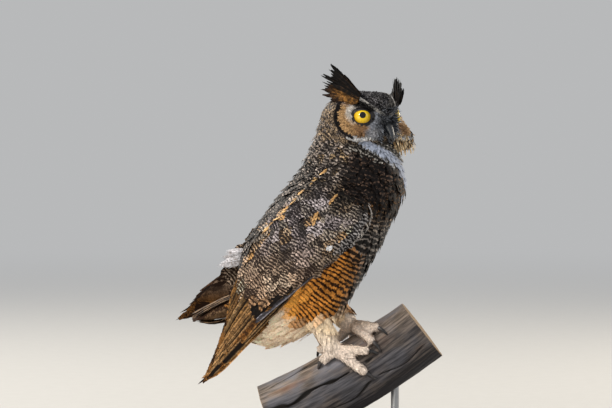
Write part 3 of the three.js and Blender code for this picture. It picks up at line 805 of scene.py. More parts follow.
def paint_head(paint, look, head, h, p):
    """The crown, the facial discs with their markings, and the chin."""
    fine = noise(p, 5.0, 21)
    paint(head, "#a08a70", "#211b19", share=0.58, spacing=4.6, streak=0.3, coherent=0)
    paint(head * smooth(fine, 0.1, 0.5), "#8b8078")
    chin = head * smooth(h[:, 2], -26, -36) * smooth(h[:, 0], 0, 18)
    paint(chin, "#a09a92", "#100d0c", share=0.7, spacing=6)
    for side in SIDES.values():
        u, v, w = face_map(h, side)
        mine = head * (h[:, 1] * side > -0.5) * smooth(w, -34, -24)
        r, turn = round_eye(u, v)
        edge = disc_edge(turn) + 1.2 * fine
        disc = mine * smooth(r, edge + 1, edge - 1)
        paint(disc, "#ad8a60", "#6b4728", share=0.25, amount=0.4, spacing=3, ragged=0.5, streak=0)
        rusty = disc * smooth(v, -8, -16) * smooth(u, 22, 4)
        paint(rusty * 0.8, "#7d5c40", "#2e1a0e", share=0.35)
        lores = disc * smooth(u + 0.25 * v, -8, -17)
        paint(lores, "#757982", "#2b2e34", share=0.3, amount=0.5, spacing=4, ragged=0.3)
        moustache = disc * smooth(v, -17, -21) * smooth(u, 2, -8)
        paint(moustache, "#86868a", amount=0.4)
        ring = mine * smooth(np.hypot(u - 5, v * 1.15 - 6) + 2 * fine, 23, 15.5) * smooth(u, -14, -6)
        paint(ring, "#b9b3ac", amount=0.1)
        rim = mine * smooth(np.abs(r - edge - 0.6), 1.5, 0.7) * smooth(turn, 52, 36) * smooth(turn, -78, -60)
        paint(rim, "#070607", "#050505", streak=0)
        below = mine * smooth(np.abs(r - edge - 1.0), 2.6, 1.4) * smooth(turn, -50, -66)
        below = below * smooth(turn, -125, -110)
        paint(below, "#c4c2c0", amount=0.2, streak=0)
        above = v - np.interp(u, (-47, -35, -18, -6, 6, 18), (-4, 0, 9.4, 17.9, 25.1, 33))
        crown = mine * smooth(above, -0.8, 0.8) * smooth(u, 26, 20)
        paint(crown, share=0.78, streak=0.3, **CROWN_LOOK)
        tall = np.where(v > 1, (v - 1) / 12.2, (v - 1) / 12.6)
        black = mine * smooth(np.hypot(np.where(u > 0, u / 16.6, u / 19.6), tall), 1.1, 1)
        paint(black, "#040304", amount=0, streak=0)
    crown = head * smooth(h[:, 2] + 0.15 * h[:, 0], 22, 32) * (look["ground"][:, 0] > 0.02)
    paint(crown, share=0.82, **CROWN_LOOK)


# ---- Feathers ----
def feather_net(rows, columns, notch, rounding):
    """A feather's net: the share of its length and of its half width at each point, and the quads."""
    t, s = np.meshgrid(np.linspace(0, 1, rows + 1), np.linspace(-1, 1, columns + 1), indexing="ij")
    last = np.arange(columns + 1) % 2 * notch
    end = 1 - rounding * s[0] ** 2 - last
    t = t * end
    index = np.arange((rows + 1) * (columns + 1)).reshape(rows + 1, columns + 1)
    faces = np.stack([index[:-1, :-1], index[:-1, 1:], index[1:, 1:], index[1:, :-1]], -1)
    return t.ravel(), s.ravel(), faces.reshape(-1, 4)


def feathers(paths, ups, length, width, lift, net, rng, cup=0.1, stem=0.35):
    """Points of feathers whose middles follow the paths, as (feather, point, 3)."""
    t, s, _ = net
    count, steps = len(paths), paths.shape[1] - 1
    along = np.minimum(t * steps, steps - 1e-6)
    low = along.astype(int)
    share = (along - low)[:, None]
    centre = paths[:, low] * (1 - share) + paths[:, low + 1] * share
    up = unit(ups[:, low] * (1 - share) + ups[:, low + 1] * share)
    run = unit(np.gradient(paths, axis=1))
    run = unit(run[:, low] * (1 - share) + run[:, low + 1] * share)
    cross = unit(np.cross(up, run))
    outline = np.minimum(1, stem + 2.2 * t) * np.sqrt(np.clip(1.02 - 0.55 * t**3, 0, 1))
    ragged = 1 + 0.16 * (rng.random((count, len(t))) - 0.6)
    broad = (width / 2)[:, None]
    half = s * outline * ragged * broad
    roll = rng.normal(0, 0.09, (count, 1))
    rise = -0.6 + (lift + 0.6)[:, None] * t**0.8 * (1 + 0.25 * rng.normal(size=(count, 1)))
    rise = rise - np.abs(s) * s * roll * broad - cup * (s * outline) ** 2 * broad
    jitter = 0.03 * length[:, None] * rng.normal(size=(count, len(t))) * (t > 0.75)
    return centre + cross * half[..., None] + up * rise[..., None] + run * jitter[..., None]


plumage = {
    "feather": plumage_material("feather", 0.6, 0.03),
    "skin": plumage_material("under_feather", 0.8, 0.0),
    "down": plumage_material("down", 0.85, 0.12),
}


def stored(look, each, across, along, phase, t=None):
    """The look of each feather as values at its points."""
    full = {key: np.repeat(np.asarray(value, float), each, axis=0) for key, value in look.items()}
    ground, mark, amount = full["ground"], full["mark"], full["amount"]
    core = full["streak"] * np.clip(1.15 - np.abs(across) * 1.5, 0, 1)
    ground = mix(ground, mark, core[:, None])
    if "edge" in full:
        brim = full["edging"] * smooth(np.abs(across), 0.62, 0.85)
        ground = mix(ground, full["edge"], brim[:, None])
        amount = amount * (1 - 0.8 * brim)
    if "tip" in full:
        ground = mix(ground, full["tip"], smooth(t, 0.5, 0.85)[:, None])
    if t is not None:
        # Darker towards the root: the feather's own downy grey base, and painted shade where the feather
        # above overlaps it.
        root = 0.95 - 0.55 * np.minimum(full["ragged"], 1)
        ground = ground * mix(root, 1.06, smooth(t, 0.15, 0.75))[:, None]
    return dict(
        ground=np.column_stack([ground, np.ones(len(ground))]),
        mark=np.column_stack([mark, amount]),
        vane=np.stack([across, along, phase], -1),
        pattern=np.stack([full[key] for key in ("spacing", "share", "ragged")], -1),
    )


BAKE_PATCH = 0.003  # the side of each feather's own patch of the map


def add_coat(name, points, net, look, length, where, rng, slot, material):
    """One piece of feathers from their points, with the map and the values that its material reads."""
    t, s, faces = net
    count, each = points.shape[:2]
    flat = points.reshape(-1, 3)
    piece = mesh_from(name, flat, (faces[None] + np.arange(count)[:, None, None] * each).reshape(-1, 4))
    t_all = np.tile(t, count)
    coherent = np.repeat(look["coherent"] > 0.5, each)
    world = along_line(side_view(flat), FRONT_LINE).run + np.repeat(rng.normal(0, 0.7, count), each)
    along = np.where(coherent, world, t_all * np.repeat(length, each))
    phase = np.where(coherent, 0.0, np.repeat(rng.random(count), each))
    tag(piece, **stored(look, each, np.tile(s, count), along, phase, t_all))
    middle = (skin_uv[where[0]] * where[1][..., None]).sum(1)
    own = np.stack([s * 0.5, t - 0.5], -1) * BAKE_PATCH
    bake_map(piece, (middle[:, None] + own[None]).reshape(-1, 2))
    finished(piece, plumage[material], slot)
    return piece


def finish_skin():
    """The skin's own look, and the nodes that it replaces."""
    none = np.zeros(len(skin_points))
    along = along_line(side_view(skin_points), FRONT_LINE).run
    tag(skin, **stored(plumage_look(skin_points, skin_part), 1, none, along, none))
    finished(skin, plumage["skin"], "plumage", *[name for name in FLESH if not name.startswith("eye")])


finish_skin()


def coat_sizes():
    """The length of the feathers at each point of the skin."""
    p, flat, h = skin_points, side_view(skin_points), to_head(skin_points)
    length = mix(21.0, 30.0, smooth(flat[:, 1], 430, 370))
    length = mix(length, 15.0, smooth(flat[:, 1] - 0.35 * flat[:, 0], 425, 470))
    for side, line in WING_LINES.items():
        on_wing = is_part(skin_part, f"wing_{side}", f"primaries_{side}")
        far = along_line(flat, line).run / 330
        length = np.where(on_wing, mix(19.0, 38.0, smooth(far, 0.1, 0.7)), length)
    on_head = is_part(skin_part, "head", "eye_right", "eye_left")
    length = np.where(on_head, mix(9.0, 13.0, smooth(h[:, 0], 15, -40)), length)
    for side in SIDES:
        shin = smooth(p[:, 2], ANKLES[side][2] + 2, ANKLES[side][2] + 22)
        length = np.where(is_part(skin_part, f"leg_{side}"), mix(7.0, 15.0, shin), length)
    return relaxed(skin, length, 16)


coat_length = coat_sizes()
BODY_NET = feather_net(5, 6, 0.1, 0.25)
SMALL_NET = feather_net(4, 4, 0.14, 0.25)
STRAND_NET = feather_net(3, 2, 0.25, 0.2)

# Each tract's parts, net, width and gap as shares of the length, and slot.
TRACTS = {
    "back": (("trunk",), BODY_NET, 0.52, 0.26, "plumage"),
    "neck": (("neck",), BODY_NET, 0.5, 0.25, "plumage"),
    "wing_right": (("wing_right", "primaries_right"), BODY_NET, 0.48, 0.26, "plumage"),
    "wing_left": (("wing_left", "primaries_left"), BODY_NET, 0.48, 0.26, "plumage"),
    "head": (("head",), SMALL_NET, 0.5, 0.26, "plumage"),
    "face": (("head", "eye_right", "eye_left"), STRAND_NET, 0.22, 0.15, "plumage"),
    "legs": (("leg_right", "leg_left"), SMALL_NET, 0.38, 0.26, "foot"),
    "vent": (("trunk",), STRAND_NET, 0.2, 0.14, "plumage"),
}


def face_share():
    """1 at the skin's points that lie in a facial disc outside the lids."""
    h = to_head(skin_points)
    inside = np.zeros(len(h))
    for side in SIDES.values():
        u, v, w = face_map(h, side)
        r, turn = round_eye(u, v)
        edge = disc_edge(turn) + 3
        mine = (r < np.minimum(edge, 40 + 8 * (u > 0))) & (h[:, 1] * side > -1) & (w > -30)
        mine &= r > almond(turn, LID_OUTER, 1.8) - 2
        inside = np.maximum(inside, mine)
    return inside


def on_face(u, v, side):
    """Places on the skin by the face's millimetres from an eye, their normals and the way ahead."""
    ahead, out = (turned(way, HEAD_YAW) for way in face_axes(side))
    flat = from_head(eye_place(side)) + (u - FACE_SHIFT[0])[:, None] * out
    flat = flat + UP * (v - FACE_SHIFT[1])[:, None]
    hit = surface.ray(flat + ahead * 70, np.broadcast_to(-ahead, flat.shape))
    lost = np.isnan(hit[:, 0]) | ((hit - flat) @ ahead < -45)
    if lost.any():
        hit[lost] = surface.nearest(flat[lost] - ahead * 10)[0]
    on, triangle = surface.nearest(hit)
    return on, skin_value(skin_normals, spot(on, triangle)), ahead


COVERTS_END = 0.66  # the share along a folded wing that the coat covers, before the bare flight feathers
COAT_STEPS = 4
# The lower edge of the right wing's coverts in side view, (x, z).
COVERT_EDGE = ((-400, 80), (-72, 270), (-40, 288), (-7, 304), (30, 330), (60, 350), (400, 600))


def lay_tracts():
    """The coat: a feather on each root, lying with the rest."""
    faces, flat, body = face_share(), side_view(skin_points), to_body(skin_points)
    for seed, (name, (parts, net, broad, close, slot)) in enumerate(TRACTS.items()):
        rng = np.random.default_rng(100 + seed)
        wanted = is_part(skin_part, *parts).astype(float)
        if name.startswith("wing"):
            line = WING_LINES[name[5:]]
            wanted = wanted * (along_line(flat, line).run < COVERTS_END * runs_of(line)[-1])
        if name == "wing_right":
            wanted = wanted * (flat[:, 1] - 18 > np.interp(flat[:, 0] - 14, *zip(*COVERT_EDGE)))
        if name == "vent":
            wanted = wanted * (body[:, 2] < 252) * (body[:, 0] + 0.5 * (body[:, 2] - 240) < -34)
        if name in ("head", "face"):
            wanted = wanted * (faces if name == "face" else 1 - faces)
        places, triangle = scatter(wanted, coat_length * close, 40 + seed)
        where, count = spot(places, triangle), len(places)
        length = skin_value(coat_length, where) * rng.normal(1, 0.08, count)
        lift = skin_value(skin_depth, where) * (1.5 if name == "vent" else 1.0)
        paths, ups = walk(places, length, COAT_STEPS, rng.normal(0, 0.16, count))
        look = plumage_look(paths[:, COAT_STEPS - 1], skin_part[skin_triangles[triangle, 0]])
        rough = np.clip(look["ragged"] * look["share"] * 1.6, 0, 1)
        vary = np.exp((0.08 + 0.32 * rough) * rng.normal(size=count))
        look["ground"] = np.clip(look["ground"] * vary[:, None], 0, 1)
        look["share"] = np.clip(look["share"] + 0.2 * rough * rng.normal(size=count), 0, 0.95)
        points = feathers(paths, ups, length, length * broad, lift, net, rng)
        add_coat("coat_" + name, points, net, look, length, where, rng, slot, "feather")


lay_tracts()


def each_look(look, count, rng):
    """A look with a row for each of count feathers, and their colours a little apart."""
    full = {}
    for key, value in look.items():
        value = np.asarray(value, float)
        full[key] = value if value.shape[:1] == (count,) and count > 3 else np.repeat(value[None], count, 0)
    full["ground"] = full["ground"] * (1 + rng.normal(0, 0.12, (count, 1)))
    return full


def plain_look(ground, mark, amount, share, ragged, spacing=5, **more):
    """A look without a dark shaft, for feathers of one kind."""
    look = dict(ground=ground, mark=linear(mark), amount=amount, share=share, ragged=ragged, spacing=spacing)
    return look | dict(streak=0, coherent=0) | more


# ---- Feathers that stand free, and the rows of small ones ----
def plumes(
    name, roots, tips, bend, ups, broad, look, net, seed, material="down", slot="plumage", cup=0.15, stem=0.35
):
    """Feathers gently bent from root to tip, with their flat sides facing along ups."""
    rng, count = np.random.default_rng(seed), len(roots)
    net = feather_net(*net)
    t = np.linspace(0, 1, 6)[None, :, None]
    paths = mix(roots[:, None], tips[:, None], t) + np.asarray(bend)[:, None] * 4 * t * (1 - t)
    length = size(tips - roots)
    ups = np.broadcast_to(unit(ups)[:, None], paths.shape)
    points = feathers(paths, ups, length, broad * np.ones(count), np.zeros(count), net, rng, cup, stem)
    return add_coat(name, points, net, each_look(look, count, rng), length, spot(roots), rng, slot, material)


def strung(line, at, further=0):
    """Places on a flat line at shares of its length, or some millimetres further along."""
    run = runs_of(line)
    return np.column_stack([np.interp(at * run[-1] + further, run, line[:, k]) for k in (0, 1)])


def strewn(count, rng):
    """Shares from 0 to 1, one drawn from each of count even steps."""
    return (np.arange(count) + rng.random(count)) / count


# Markings too fine for the coat are rows of their own small feathers: the line of (outward, up) from the eye,
# half widths at its ends, how many, their length, which way they run, how far they rise, and their colours.
RIM_TURNS = np.linspace(52, -64, 12)
RIM_LINE = (disc_edge(RIM_TURNS) + 1) * [np.cos(np.radians(RIM_TURNS)), np.sin(np.radians(RIM_TURNS))]
TRIMS = (
    ("disc_rim", RIM_LINE.T, (0.3, 0.6), 200, (3, 4.8), (0.6, 0), (2.0, 4.2), ("#0a0809", "#171213")),
    ("brow_stripe", [(-15.7, 9.0), (-2.4, 14.2), (7.3, 19.2), (18.1, 28), (27, 36.5)], (1.3, 3.6), 240,
     (6, 9), (0, 1), (1.5, 4.6), ("#060506", "#171213")),
    ("brow_line", [(-31, 1.5), (-18, 9.6), (-6, 18.2), (6, 25.4), (14, 32)], (1.3, 1.3), 150, (4, 7),
     (0, 1), (1.5, 4.4), ("#9a958f", "#d6d1cb")),
    ("cheek_line", [(23, -29.5), (14, -32.5), (4, -33), (-5, -32)], (0.8, 1.3), 70, (4, 6),
     (0.6, 0.3), (1.5, 4.0), ("#8d8b8c", "#c4c2c0")),
)  # fmt: skip


def add_trims():
    """The rims and lines of the face, on both sides."""
    for trim, (side, sign) in itertools.product(TRIMS, SIDES.items()):
        name, line, wide, count, reach, way, rise, codes = trim
        rng, line = np.random.default_rng(len(name)), np.array(line, float)
        at = strewn(count, rng)
        middle = strung(line, at)
        tangent = unit(strung(line, at, 1) - middle + 1e-6)
        aside = (rng.uniform(-1, 1, count) * mix(*wide, at))[:, None]
        middle = middle + np.column_stack([-tangent[:, 1], tangent[:, 0]]) * aside
        course = unit(way[0] * unit(middle) + way[1] * tangent + 0.18 * rng.normal(size=(count, 2)))
        half = course * rng.uniform(*reach, count)[:, None] * 0.5
        start = on_face(*(middle - half).T, sign)[0]
        end, normal, _ = on_face(*(middle + half).T, sign)
        roots, tips = start + skin_value(skin_normals, spot(start)) * rise[0], end + normal * rise[1]
        look = plain_look(shades_between(rng, codes, count), "#0a0809", 0.1, 0.2, 0.2)
        ups = unit(normal + 0.25 * rng.normal(size=(count, 3)))
        plumes(f"{name}_{side}", roots, tips, normal * 0.6, ups, 2.0, look, (4, 2, 0.25, 0.15), 57)


# The visor of feathers that juts over each eye: rows of (outward, up) of the roots and how dark they are.
VISOR_ROWS = (
    # The lower row's near-black is the dark feathering over the eye and a painted shadow of the brow over it.
    ([(-17, 9.5), (-8, 13.0), (2, 15.0), (11, 15.5)], ("#080607", "#1a1516")),
    ([(-19, 12.5), (-9, 16.5), (1, 19.0), (8, 21.0)], ("#1a1617", "#6a6561")),
)
VISOR_COUNT, VISOR_REACH = 90, (7, 10)


def add_visors():
    """Feathers rooted over each eye that point ahead of it."""
    for (side, sign), (layer, (line, codes)) in itertools.product(SIDES.items(), enumerate(VISOR_ROWS)):
        rng = np.random.default_rng(58 + layer)
        at = strewn(VISOR_COUNT, rng) * (len(line) - 1)
        middle = np.column_stack([np.interp(at, np.arange(len(line)), values) for values in zip(*line)])
        roots, normal, ahead = on_face(*(middle + rng.normal(0, 0.5, middle.shape)).T, sign)
        out = np.cross(UP, ahead) * sign
        way = ahead * 0.85 + normal * 0.25 + out * 0.25 + np.array([0, 0, 0.05])
        way = unit(way + 0.14 * rng.normal(size=normal.shape))
        tips = roots + way * rng.uniform(*VISOR_REACH, (VISOR_COUNT, 1))
        look = plain_look(shades_between(rng, codes, VISOR_COUNT, 1.5), "#0a0809", 0.1, 0.2, 0.2)
        ups = unit(UP + 0.4 * rng.normal(size=normal.shape))
        plumes(f"visor_{side}_{layer}", roots, tips, way * 0, ups, 2.2, look, (4, 2, 0.3, 0.15), 59)


def add_cheek():
    """The fluffy tan edge of the far cheek, which hangs past the chin."""
    rng, h = np.random.default_rng(93), to_head(skin_points)
    r, turn = round_eye(*face_map(h, 1)[:2])
    near = (r > 19) & (r < 44) & (turn < 32) & (turn > -120) & (h[:, 1] > 6) & is_part(skin_part, "head")
    places, triangle = scatter(near.astype(float), np.full(len(h), 2.9), 94)
    q, normal = to_head(places), turned(skin_value(skin_normals, spot(places, triangle)), -HEAD_YAW)
    way = unit(0.7 * normal + np.array([0.0, -0.3, -1.3]) + 0.3 * rng.normal(size=q.shape))
    length = rng.uniform(7, 12, (len(q), 1)) * mix(0.9, 1.7, smooth(q[:, 2:], -8, -32))
    tan = shades_between(rng, ("#9c7748", "#e6d0aa"), len(q))
    look = plain_look(tan, "#5d3a1e", 0.3, 0.25, 0.5, tip=linear("#d8bf98"))
    roots, tips = from_head(q - normal * 1.0), from_head(q + way * length)
    ups = turned(unit(normal + 0.4 * rng.normal(size=q.shape)), HEAD_YAW)
    bend = turned(normal * length * 0.1, HEAD_YAW)
    plumes("cheek_feathers", roots, tips, bend, ups, 3.0, look, (5, 2, 0.3, 0.15), 95)


# ---- Flight feathers ----
FLIGHT_NET = feather_net(18, 8, 0.006, 0.045)
FLIGHT_STEPS = 9


def laid_on(places, way, over=surface):
    """Places moved along a ray onto the skin, or to the nearest skin where the ray misses. Over one part's
    own solids they keep their course past its edge."""
    hit = over.ray(places - way * 150, np.broadcast_to(way, places.shape))
    missed = np.isnan(hit[:, 0])
    if missed.any():
        near = over.nearest(places[missed])[0]
        sunk = places[missed] + ((near - places[missed]) @ way)[:, None] * way
        hit[missed] = near if over is surface else sunk
    return hit


def quill_path(root, tip, bow, way, over):
    """A gently bowed path over the skin from root to tip, seen along a ray."""
    t = np.linspace(0, 1, FLIGHT_STEPS)[:, None]
    side = unit(np.cross(way, tip - root))
    places = mix(root, tip, t) + side * bow * 4 * t * (1 - t)
    path = laid_on(places, way, over)
    depth = path @ way
    smoother = np.polynomial.Polynomial.fit(t[:, 0], depth, 3)(t[:, 0])
    return path + way * (np.minimum(smoother, depth) - depth)[:, None]


def quills(name, roots, tips, broad, bow, way, lift, look, seed, over):
    """Long feathers in a row, each lying a little over the one before."""
    rng, count = np.random.default_rng(seed), len(roots)
    paths = np.stack([quill_path(a, b, bow, way, over) for a, b in zip(roots, tips)])
    ups = np.broadcast_to(-way, paths.shape)
    rise = smooth(np.linspace(0, 1, FLIGHT_STEPS), 0.18, 0.7)[None, :, None]
    paths = paths - way * (np.linspace(lift[0], lift[1], count)[:, None, None] * rise - 2.0 * (1 - rise))
    length = size(np.diff(paths, axis=1)).sum(1)
    points = feathers(
        paths, ups, length, np.full(count, broad), np.full(count, 0.8), FLIGHT_NET, rng, cup=0.06, stem=0.45
    )
    where = spot(paths[:, FLIGHT_STEPS // 2])
    add_coat(name, points, FLIGHT_NET, each_look(look, count, rng), length, where, rng, "plumage", "feather")


def seen_from_side(flat):
    """Places (x, z) in the body's side view as points in the frame."""
    return from_body(level(flat))


def linears(codes):
    """Several colours, given in one string."""
    return np.array([linear(code) for code in codes.split()])


PRIMARY_LOOK = dict(
    ground=linears("#a56c2f #120b07 #0f0906 #6a4420 #a98255 #120b07 #835323 #40270f #94693a"),
    mark=linear("#120905"), amount=0.8, spacing=26, share=0.42, ragged=0.9, streak=0.9, coherent=0,
    edge=linear("#c79c6a"), edging=0.65,
)  # fmt: skip
SECONDARY_LOOK = PRIMARY_LOOK | dict(
    ground=linears("#744a20 #24160b #5d4126 #1d110a #7d5830 #140c07 #9c7e5a #452b16 #6b4a2a #1d110a #865b2b"),
    amount=0.7, spacing=13, share=0.5, streak=0.5, edge=linear("#a8804e"), edging=0.5,
)  # fmt: skip
# The far wing's long feathers in one darkened brown: their own brown with painted shade of the far side,
# darker than the near wing's.
FAR_WING_SHADE_LOOK = PRIMARY_LOOK | dict(
    ground=linear("#432f23"), mark=linear("#0d0705"), streak=0.6, edge=linear("#80593a"), edging=0.4
)
# The right wing's hand row: a grey-lilac leading feather, then near-black ones that are a painted shadow
# under the coverts' lower edge.
LEADING_EDGE_AND_SHADOW_LOOK = PRIMARY_LOOK | dict(
    ground=linears("#4c4a50 #0f0b0a #0c0908 #0c0908"), amount=0.2, streak=0.3,
    edge=linears("#9a97a0 #1a1411 #17110e #17110e"),
)  # fmt: skip
TAIL_LOOK = PRIMARY_LOOK | dict(
    ground=linear("#9b7c5c"), mark=linear("#2a1a11"), amount=1, spacing=24, share=0.5, streak=0, ragged=0.15,
    edge=linear("#3a281c"), edging=0.8,
)  # fmt: skip


TAIL_FACES = {"above": (0.428, 0.0, -0.904), "below": (-0.428, 0.0, 0.904)}  # the way onto each face
TAIL_HALF = 25.0

# Rows of long feathers on each folded wing: first and last root, first and last tip, count, width, lifts.
WING_ROWS = {
    "right": (
        ("hand", (18, 328), (2, 338), (-96, 233), (-106, 246), 4, 9, (0.2, 1.2), LEADING_EDGE_AND_SHADOW_LOOK),
        ("primaries", (-14, 300), (-62, 300), (-172, 140), (-154, 184), 9, 12, (0.6, 2.4), PRIMARY_LOOK),
        ("secondaries", (-46, 292), (-114, 304), (-150, 168), (-134, 250), 11, 13, (1.6, 3.4),
         SECONDARY_LOOK),
    ),
    "left": (
        ("hand", (24, 342), (4, 350), (-100, 268), (-108, 280), 4, 11, (0.2, 1.2), FAR_WING_SHADE_LOOK),
        ("primaries", (-14, 334), (-60, 356), (-222, 230), (-198, 262), 8, 13, (0.6, 2.6), FAR_WING_SHADE_LOOK),
        ("secondaries", (-34, 338), (-92, 362), (-188, 250), (-152, 296), 9, 16, (2.0, 3.4), FAR_WING_SHADE_LOOK),
    ),
}


# Marks finer than the wings' feathers: the line in side view, half width, count, length, width and shades.
WING_MARKS = (
    ("scapular_streak", SCAPULAR_LINE[:4] + [(-84, 358)], 1.2, 60, (7, 12), 2.6,
     ("#b98a55", "#e3bd85"), 0.35),
    ("wing_front_rim", [(65, 404), (68, 388), (62, 371), (53, 359), (43, 349)], 0.8, 46, (4, 7), 2.0,
     ("#857d77", "#d9d1c9"), 0),
    ("wing_spot", [(18, 347), (14, 342)], 2.6, 26, (4.5, 6), 3.0, ("#c9c8ca", "#f4f4f6"), 0),
    ("wing_fleck_high", [(24, 418), (14, 404)], 1.4, 8, (6, 9), 2.6, ("#a87f4e", "#c9a06c"), 0),
    ("wing_fleck_low", [(-2, 392), (-8, 376)], 1.8, 8, (6, 9), 2.6, ("#a87f4e", "#c9a06c"), 0),
)  # fmt: skip


def add_wing_marks():
    """The streaks and spots of the wings, on both sides."""
    for wing_mark, (side, sign) in itertools.product(WING_MARKS, SIDES.items()):
        name, line, wide, count, reach, broad, codes, broken = wing_mark
        if name == "wing_front_rim" and side == "left":
            continue  # the left wing's front edge is sunk in the breast
        rng, line = np.random.default_rng(len(name)), np.array(line, float)
        at = strewn(count, rng)
        if broken:
            far = at * runs_of(line)[-1]
            at = at[np.sin(far * 0.33 + 0.6 * np.sin(far * 0.1)) > 2 * broken - 1]
        course = unit(strung(line, at, 1) - strung(line, at, -1))
        course = unit(course + 0.15 * rng.normal(size=course.shape))
        middle = strung(line, at) + course[:, ::-1] * [-1, 1] * rng.uniform(-wide, wide, (len(at), 1))
        half = course * rng.uniform(*reach, (len(at), 1)) / 2
        way = turned(np.array([0.0, -sign, 0.0]), BODY_YAW)
        ends = []
        for flat, rise in ((middle - half, 0.7), (middle + half, 1.35)):
            places = laid_on(seen_from_side(flat), way)
            where = spot(places)
            normal = unit(skin_value(skin_normals, where))
            ends.append(places + normal * rise * skin_value(skin_depth, where)[:, None])
        look = plain_look(shades_between(rng, codes, len(at)), "#1a1210", 0.25, 0.3, 0.3)
        ups = unit(normal + 0.15 * rng.normal(size=normal.shape))
        plumes(f"{name}_{side}", *ends, normal * 0.5, ups, broad, look, (5, 4, 0.15, 0.2), 77, "feather")


def add_flight_feathers():
    """The long feathers of both wings and of the tail's two faces."""
    for side, rows in WING_ROWS.items():
        way = turned(np.array([0.0, -SIDES[side], 0.0]), BODY_YAW)
        over = surface if side == "right" else Surface(*joined_solids(["wing_left", "primaries_left"]))
        for seed, (name, r0, r1, t0, t1, count, broad, lift, look) in enumerate(rows):
            ends = [seen_from_side(np.linspace(a, b, count)) for a, b in ((r0, r1), (t0, t1))]
            quills(f"quills_{name}_{side}", *ends, broad, -1.5 * SIDES[side], way, lift, look, seed, over)
    count, over = 6, Surface(*joined_solids(["tail"]))
    for (side, sign), (face, way) in itertools.product(SIDES.items(), TAIL_FACES.items()):
        spread = np.linspace(TAIL_HALF, 3, count) * sign  # the outermost feather lies lowest
        root = np.column_stack([np.full(count, -84.0), spread * 0.7, np.full(count, 290.0)])
        tip = np.column_stack([np.linspace(-190, -196, count), spread, np.linspace(240, 237, count)])
        way = turned(np.array(way), BODY_YAW)
        ends = from_body(root), from_body(tip)
        quills(f"tail_{face}_{side}", *ends, 15, 0, way, (0.2, 1.6), TAIL_LOOK, 9, over)


add_flight_feathers()


# ---- Eyes, ear tufts and bristles ----
IRIS_ANGLE, PUPIL_ANGLE = 60.0, 17.5


def eye_material():
    """A golden iris with fine fibres, a dark rim and a round pupil."""
    n = Nodes("eye")
    off_axis, turn, _ = n.split(n.attribute("round").outputs["Vector"])
    fibre = n.node("ShaderNodeCombineXYZ", {0: n.mul(turn, 14.0), 1: off_axis}).outputs[0]
    gold = n.blend(n.step(off_axis, 24.0, 56.0), "#e8c41c", "#c4960f")
    gold = n.blend(n.step(n.noise(fibre, 1.0, 3.0), 0.35, 0.75, 0.0, 0.3), gold, "#b97403")
    colour = n.blend(n.step(off_axis, IRIS_ANGLE - 4.5, IRIS_ANGLE - 1.0), gold, "#050404")
    pupil = n.step(off_axis, PUPIL_ANGLE - 0.6, PUPIL_ANGLE + 0.6, 1.0, 0.0)
    colour = n.blend(pupil, colour, "#020203")
    return n.finish(colour, roughness=0.5, coat_weight=0.8, coat_roughness=0.03, specular_ior_level=0.1)


def gaze(side):
    """An eye's own axes in the frame: forward, outward and up."""
    sign = SIDES[side]
    ahead = np.array([math.cos(GAZE_OUT), sign * math.sin(GAZE_OUT), math.tan(GAZE_UP)])
    ahead = unit(turned(ahead, HEAD_YAW))
    up = unit(UP - ahead[2] * ahead)
    return ahead, np.cross(up, ahead) * sign, up


def ring_faces(rings, segments, flip=False):
    """The quads of a net of rings."""
    index = np.arange((rings + 1) * segments).reshape(rings + 1, segments)
    nxt = np.roll(index, -1, axis=1)
    faces = np.stack([index[:-1], nxt[:-1], nxt[1:], index[1:]], -1).reshape(-1, 4)
    return faces[:, ::-1] if flip else faces


def globe_radius(off_axis):
    """The globe with its cornea's bulge, at degrees from the gaze axis."""
    return EYE_RADIUS - 0.9 + 1.2 * smooth(off_axis, IRIS_ANGLE + 6, 8)


TURNS = np.linspace(-180, 180, 72, endpoint=False)  # the degrees round an eye at which its nets have points
GLOBE_RINGS, GLOBE_REACH, LID_RINGS = 40, 150, 12


def add_globe(side, material):
    """One eye's globe, whose points carry their degrees from the gaze and round it."""
    ahead, out, up = gaze(side)
    off_axis, turn = np.meshgrid(np.linspace(0.01, GLOBE_REACH, GLOBE_RINGS + 1), TURNS, indexing="ij")
    a, b = np.radians(off_axis)[..., None], np.radians(turn)[..., None]
    way = np.cos(a) * ahead + np.sin(a) * (np.cos(b) * out + np.sin(b) * up)
    points = from_head(eye_place(SIDES[side])) + way * globe_radius(off_axis)[..., None]
    faces = ring_faces(GLOBE_RINGS, len(TURNS), side == "right")
    globe = mesh_from(f"eye_globe_{side}", points.reshape(-1, 3), faces)
    tag(globe, round=np.stack([off_axis, np.radians(turn), turn * 0], -1).reshape(-1, 3))
    finished(globe, material, "eye", f"eye_{side}")


LID_BACK = 16.5  # the lids run back under the face's feathers to here, millimetres from the eye's middle


def lid_height(r, turn, share, skin_high):
    """How far along the gaze the lids' surface lies, from their inner edge at share 0 to the outer at 1."""
    globe = globe_radius(np.degrees(np.arcsin(np.clip(r / EYE_RADIUS, 0, 1))))
    ball = np.sqrt(np.clip(globe**2 - r**2, 0, None))
    brow = smooth(np.sin(np.radians(turn)), 0.2, 0.9) * (share > 0)
    swell = 0.5 + 1.0 * smooth(share, 0, 0.35) + 0.9 * brow
    high = np.maximum(ball + swell, skin_high + 1.4)
    return np.where(share == 0, ball - 0.4, high)


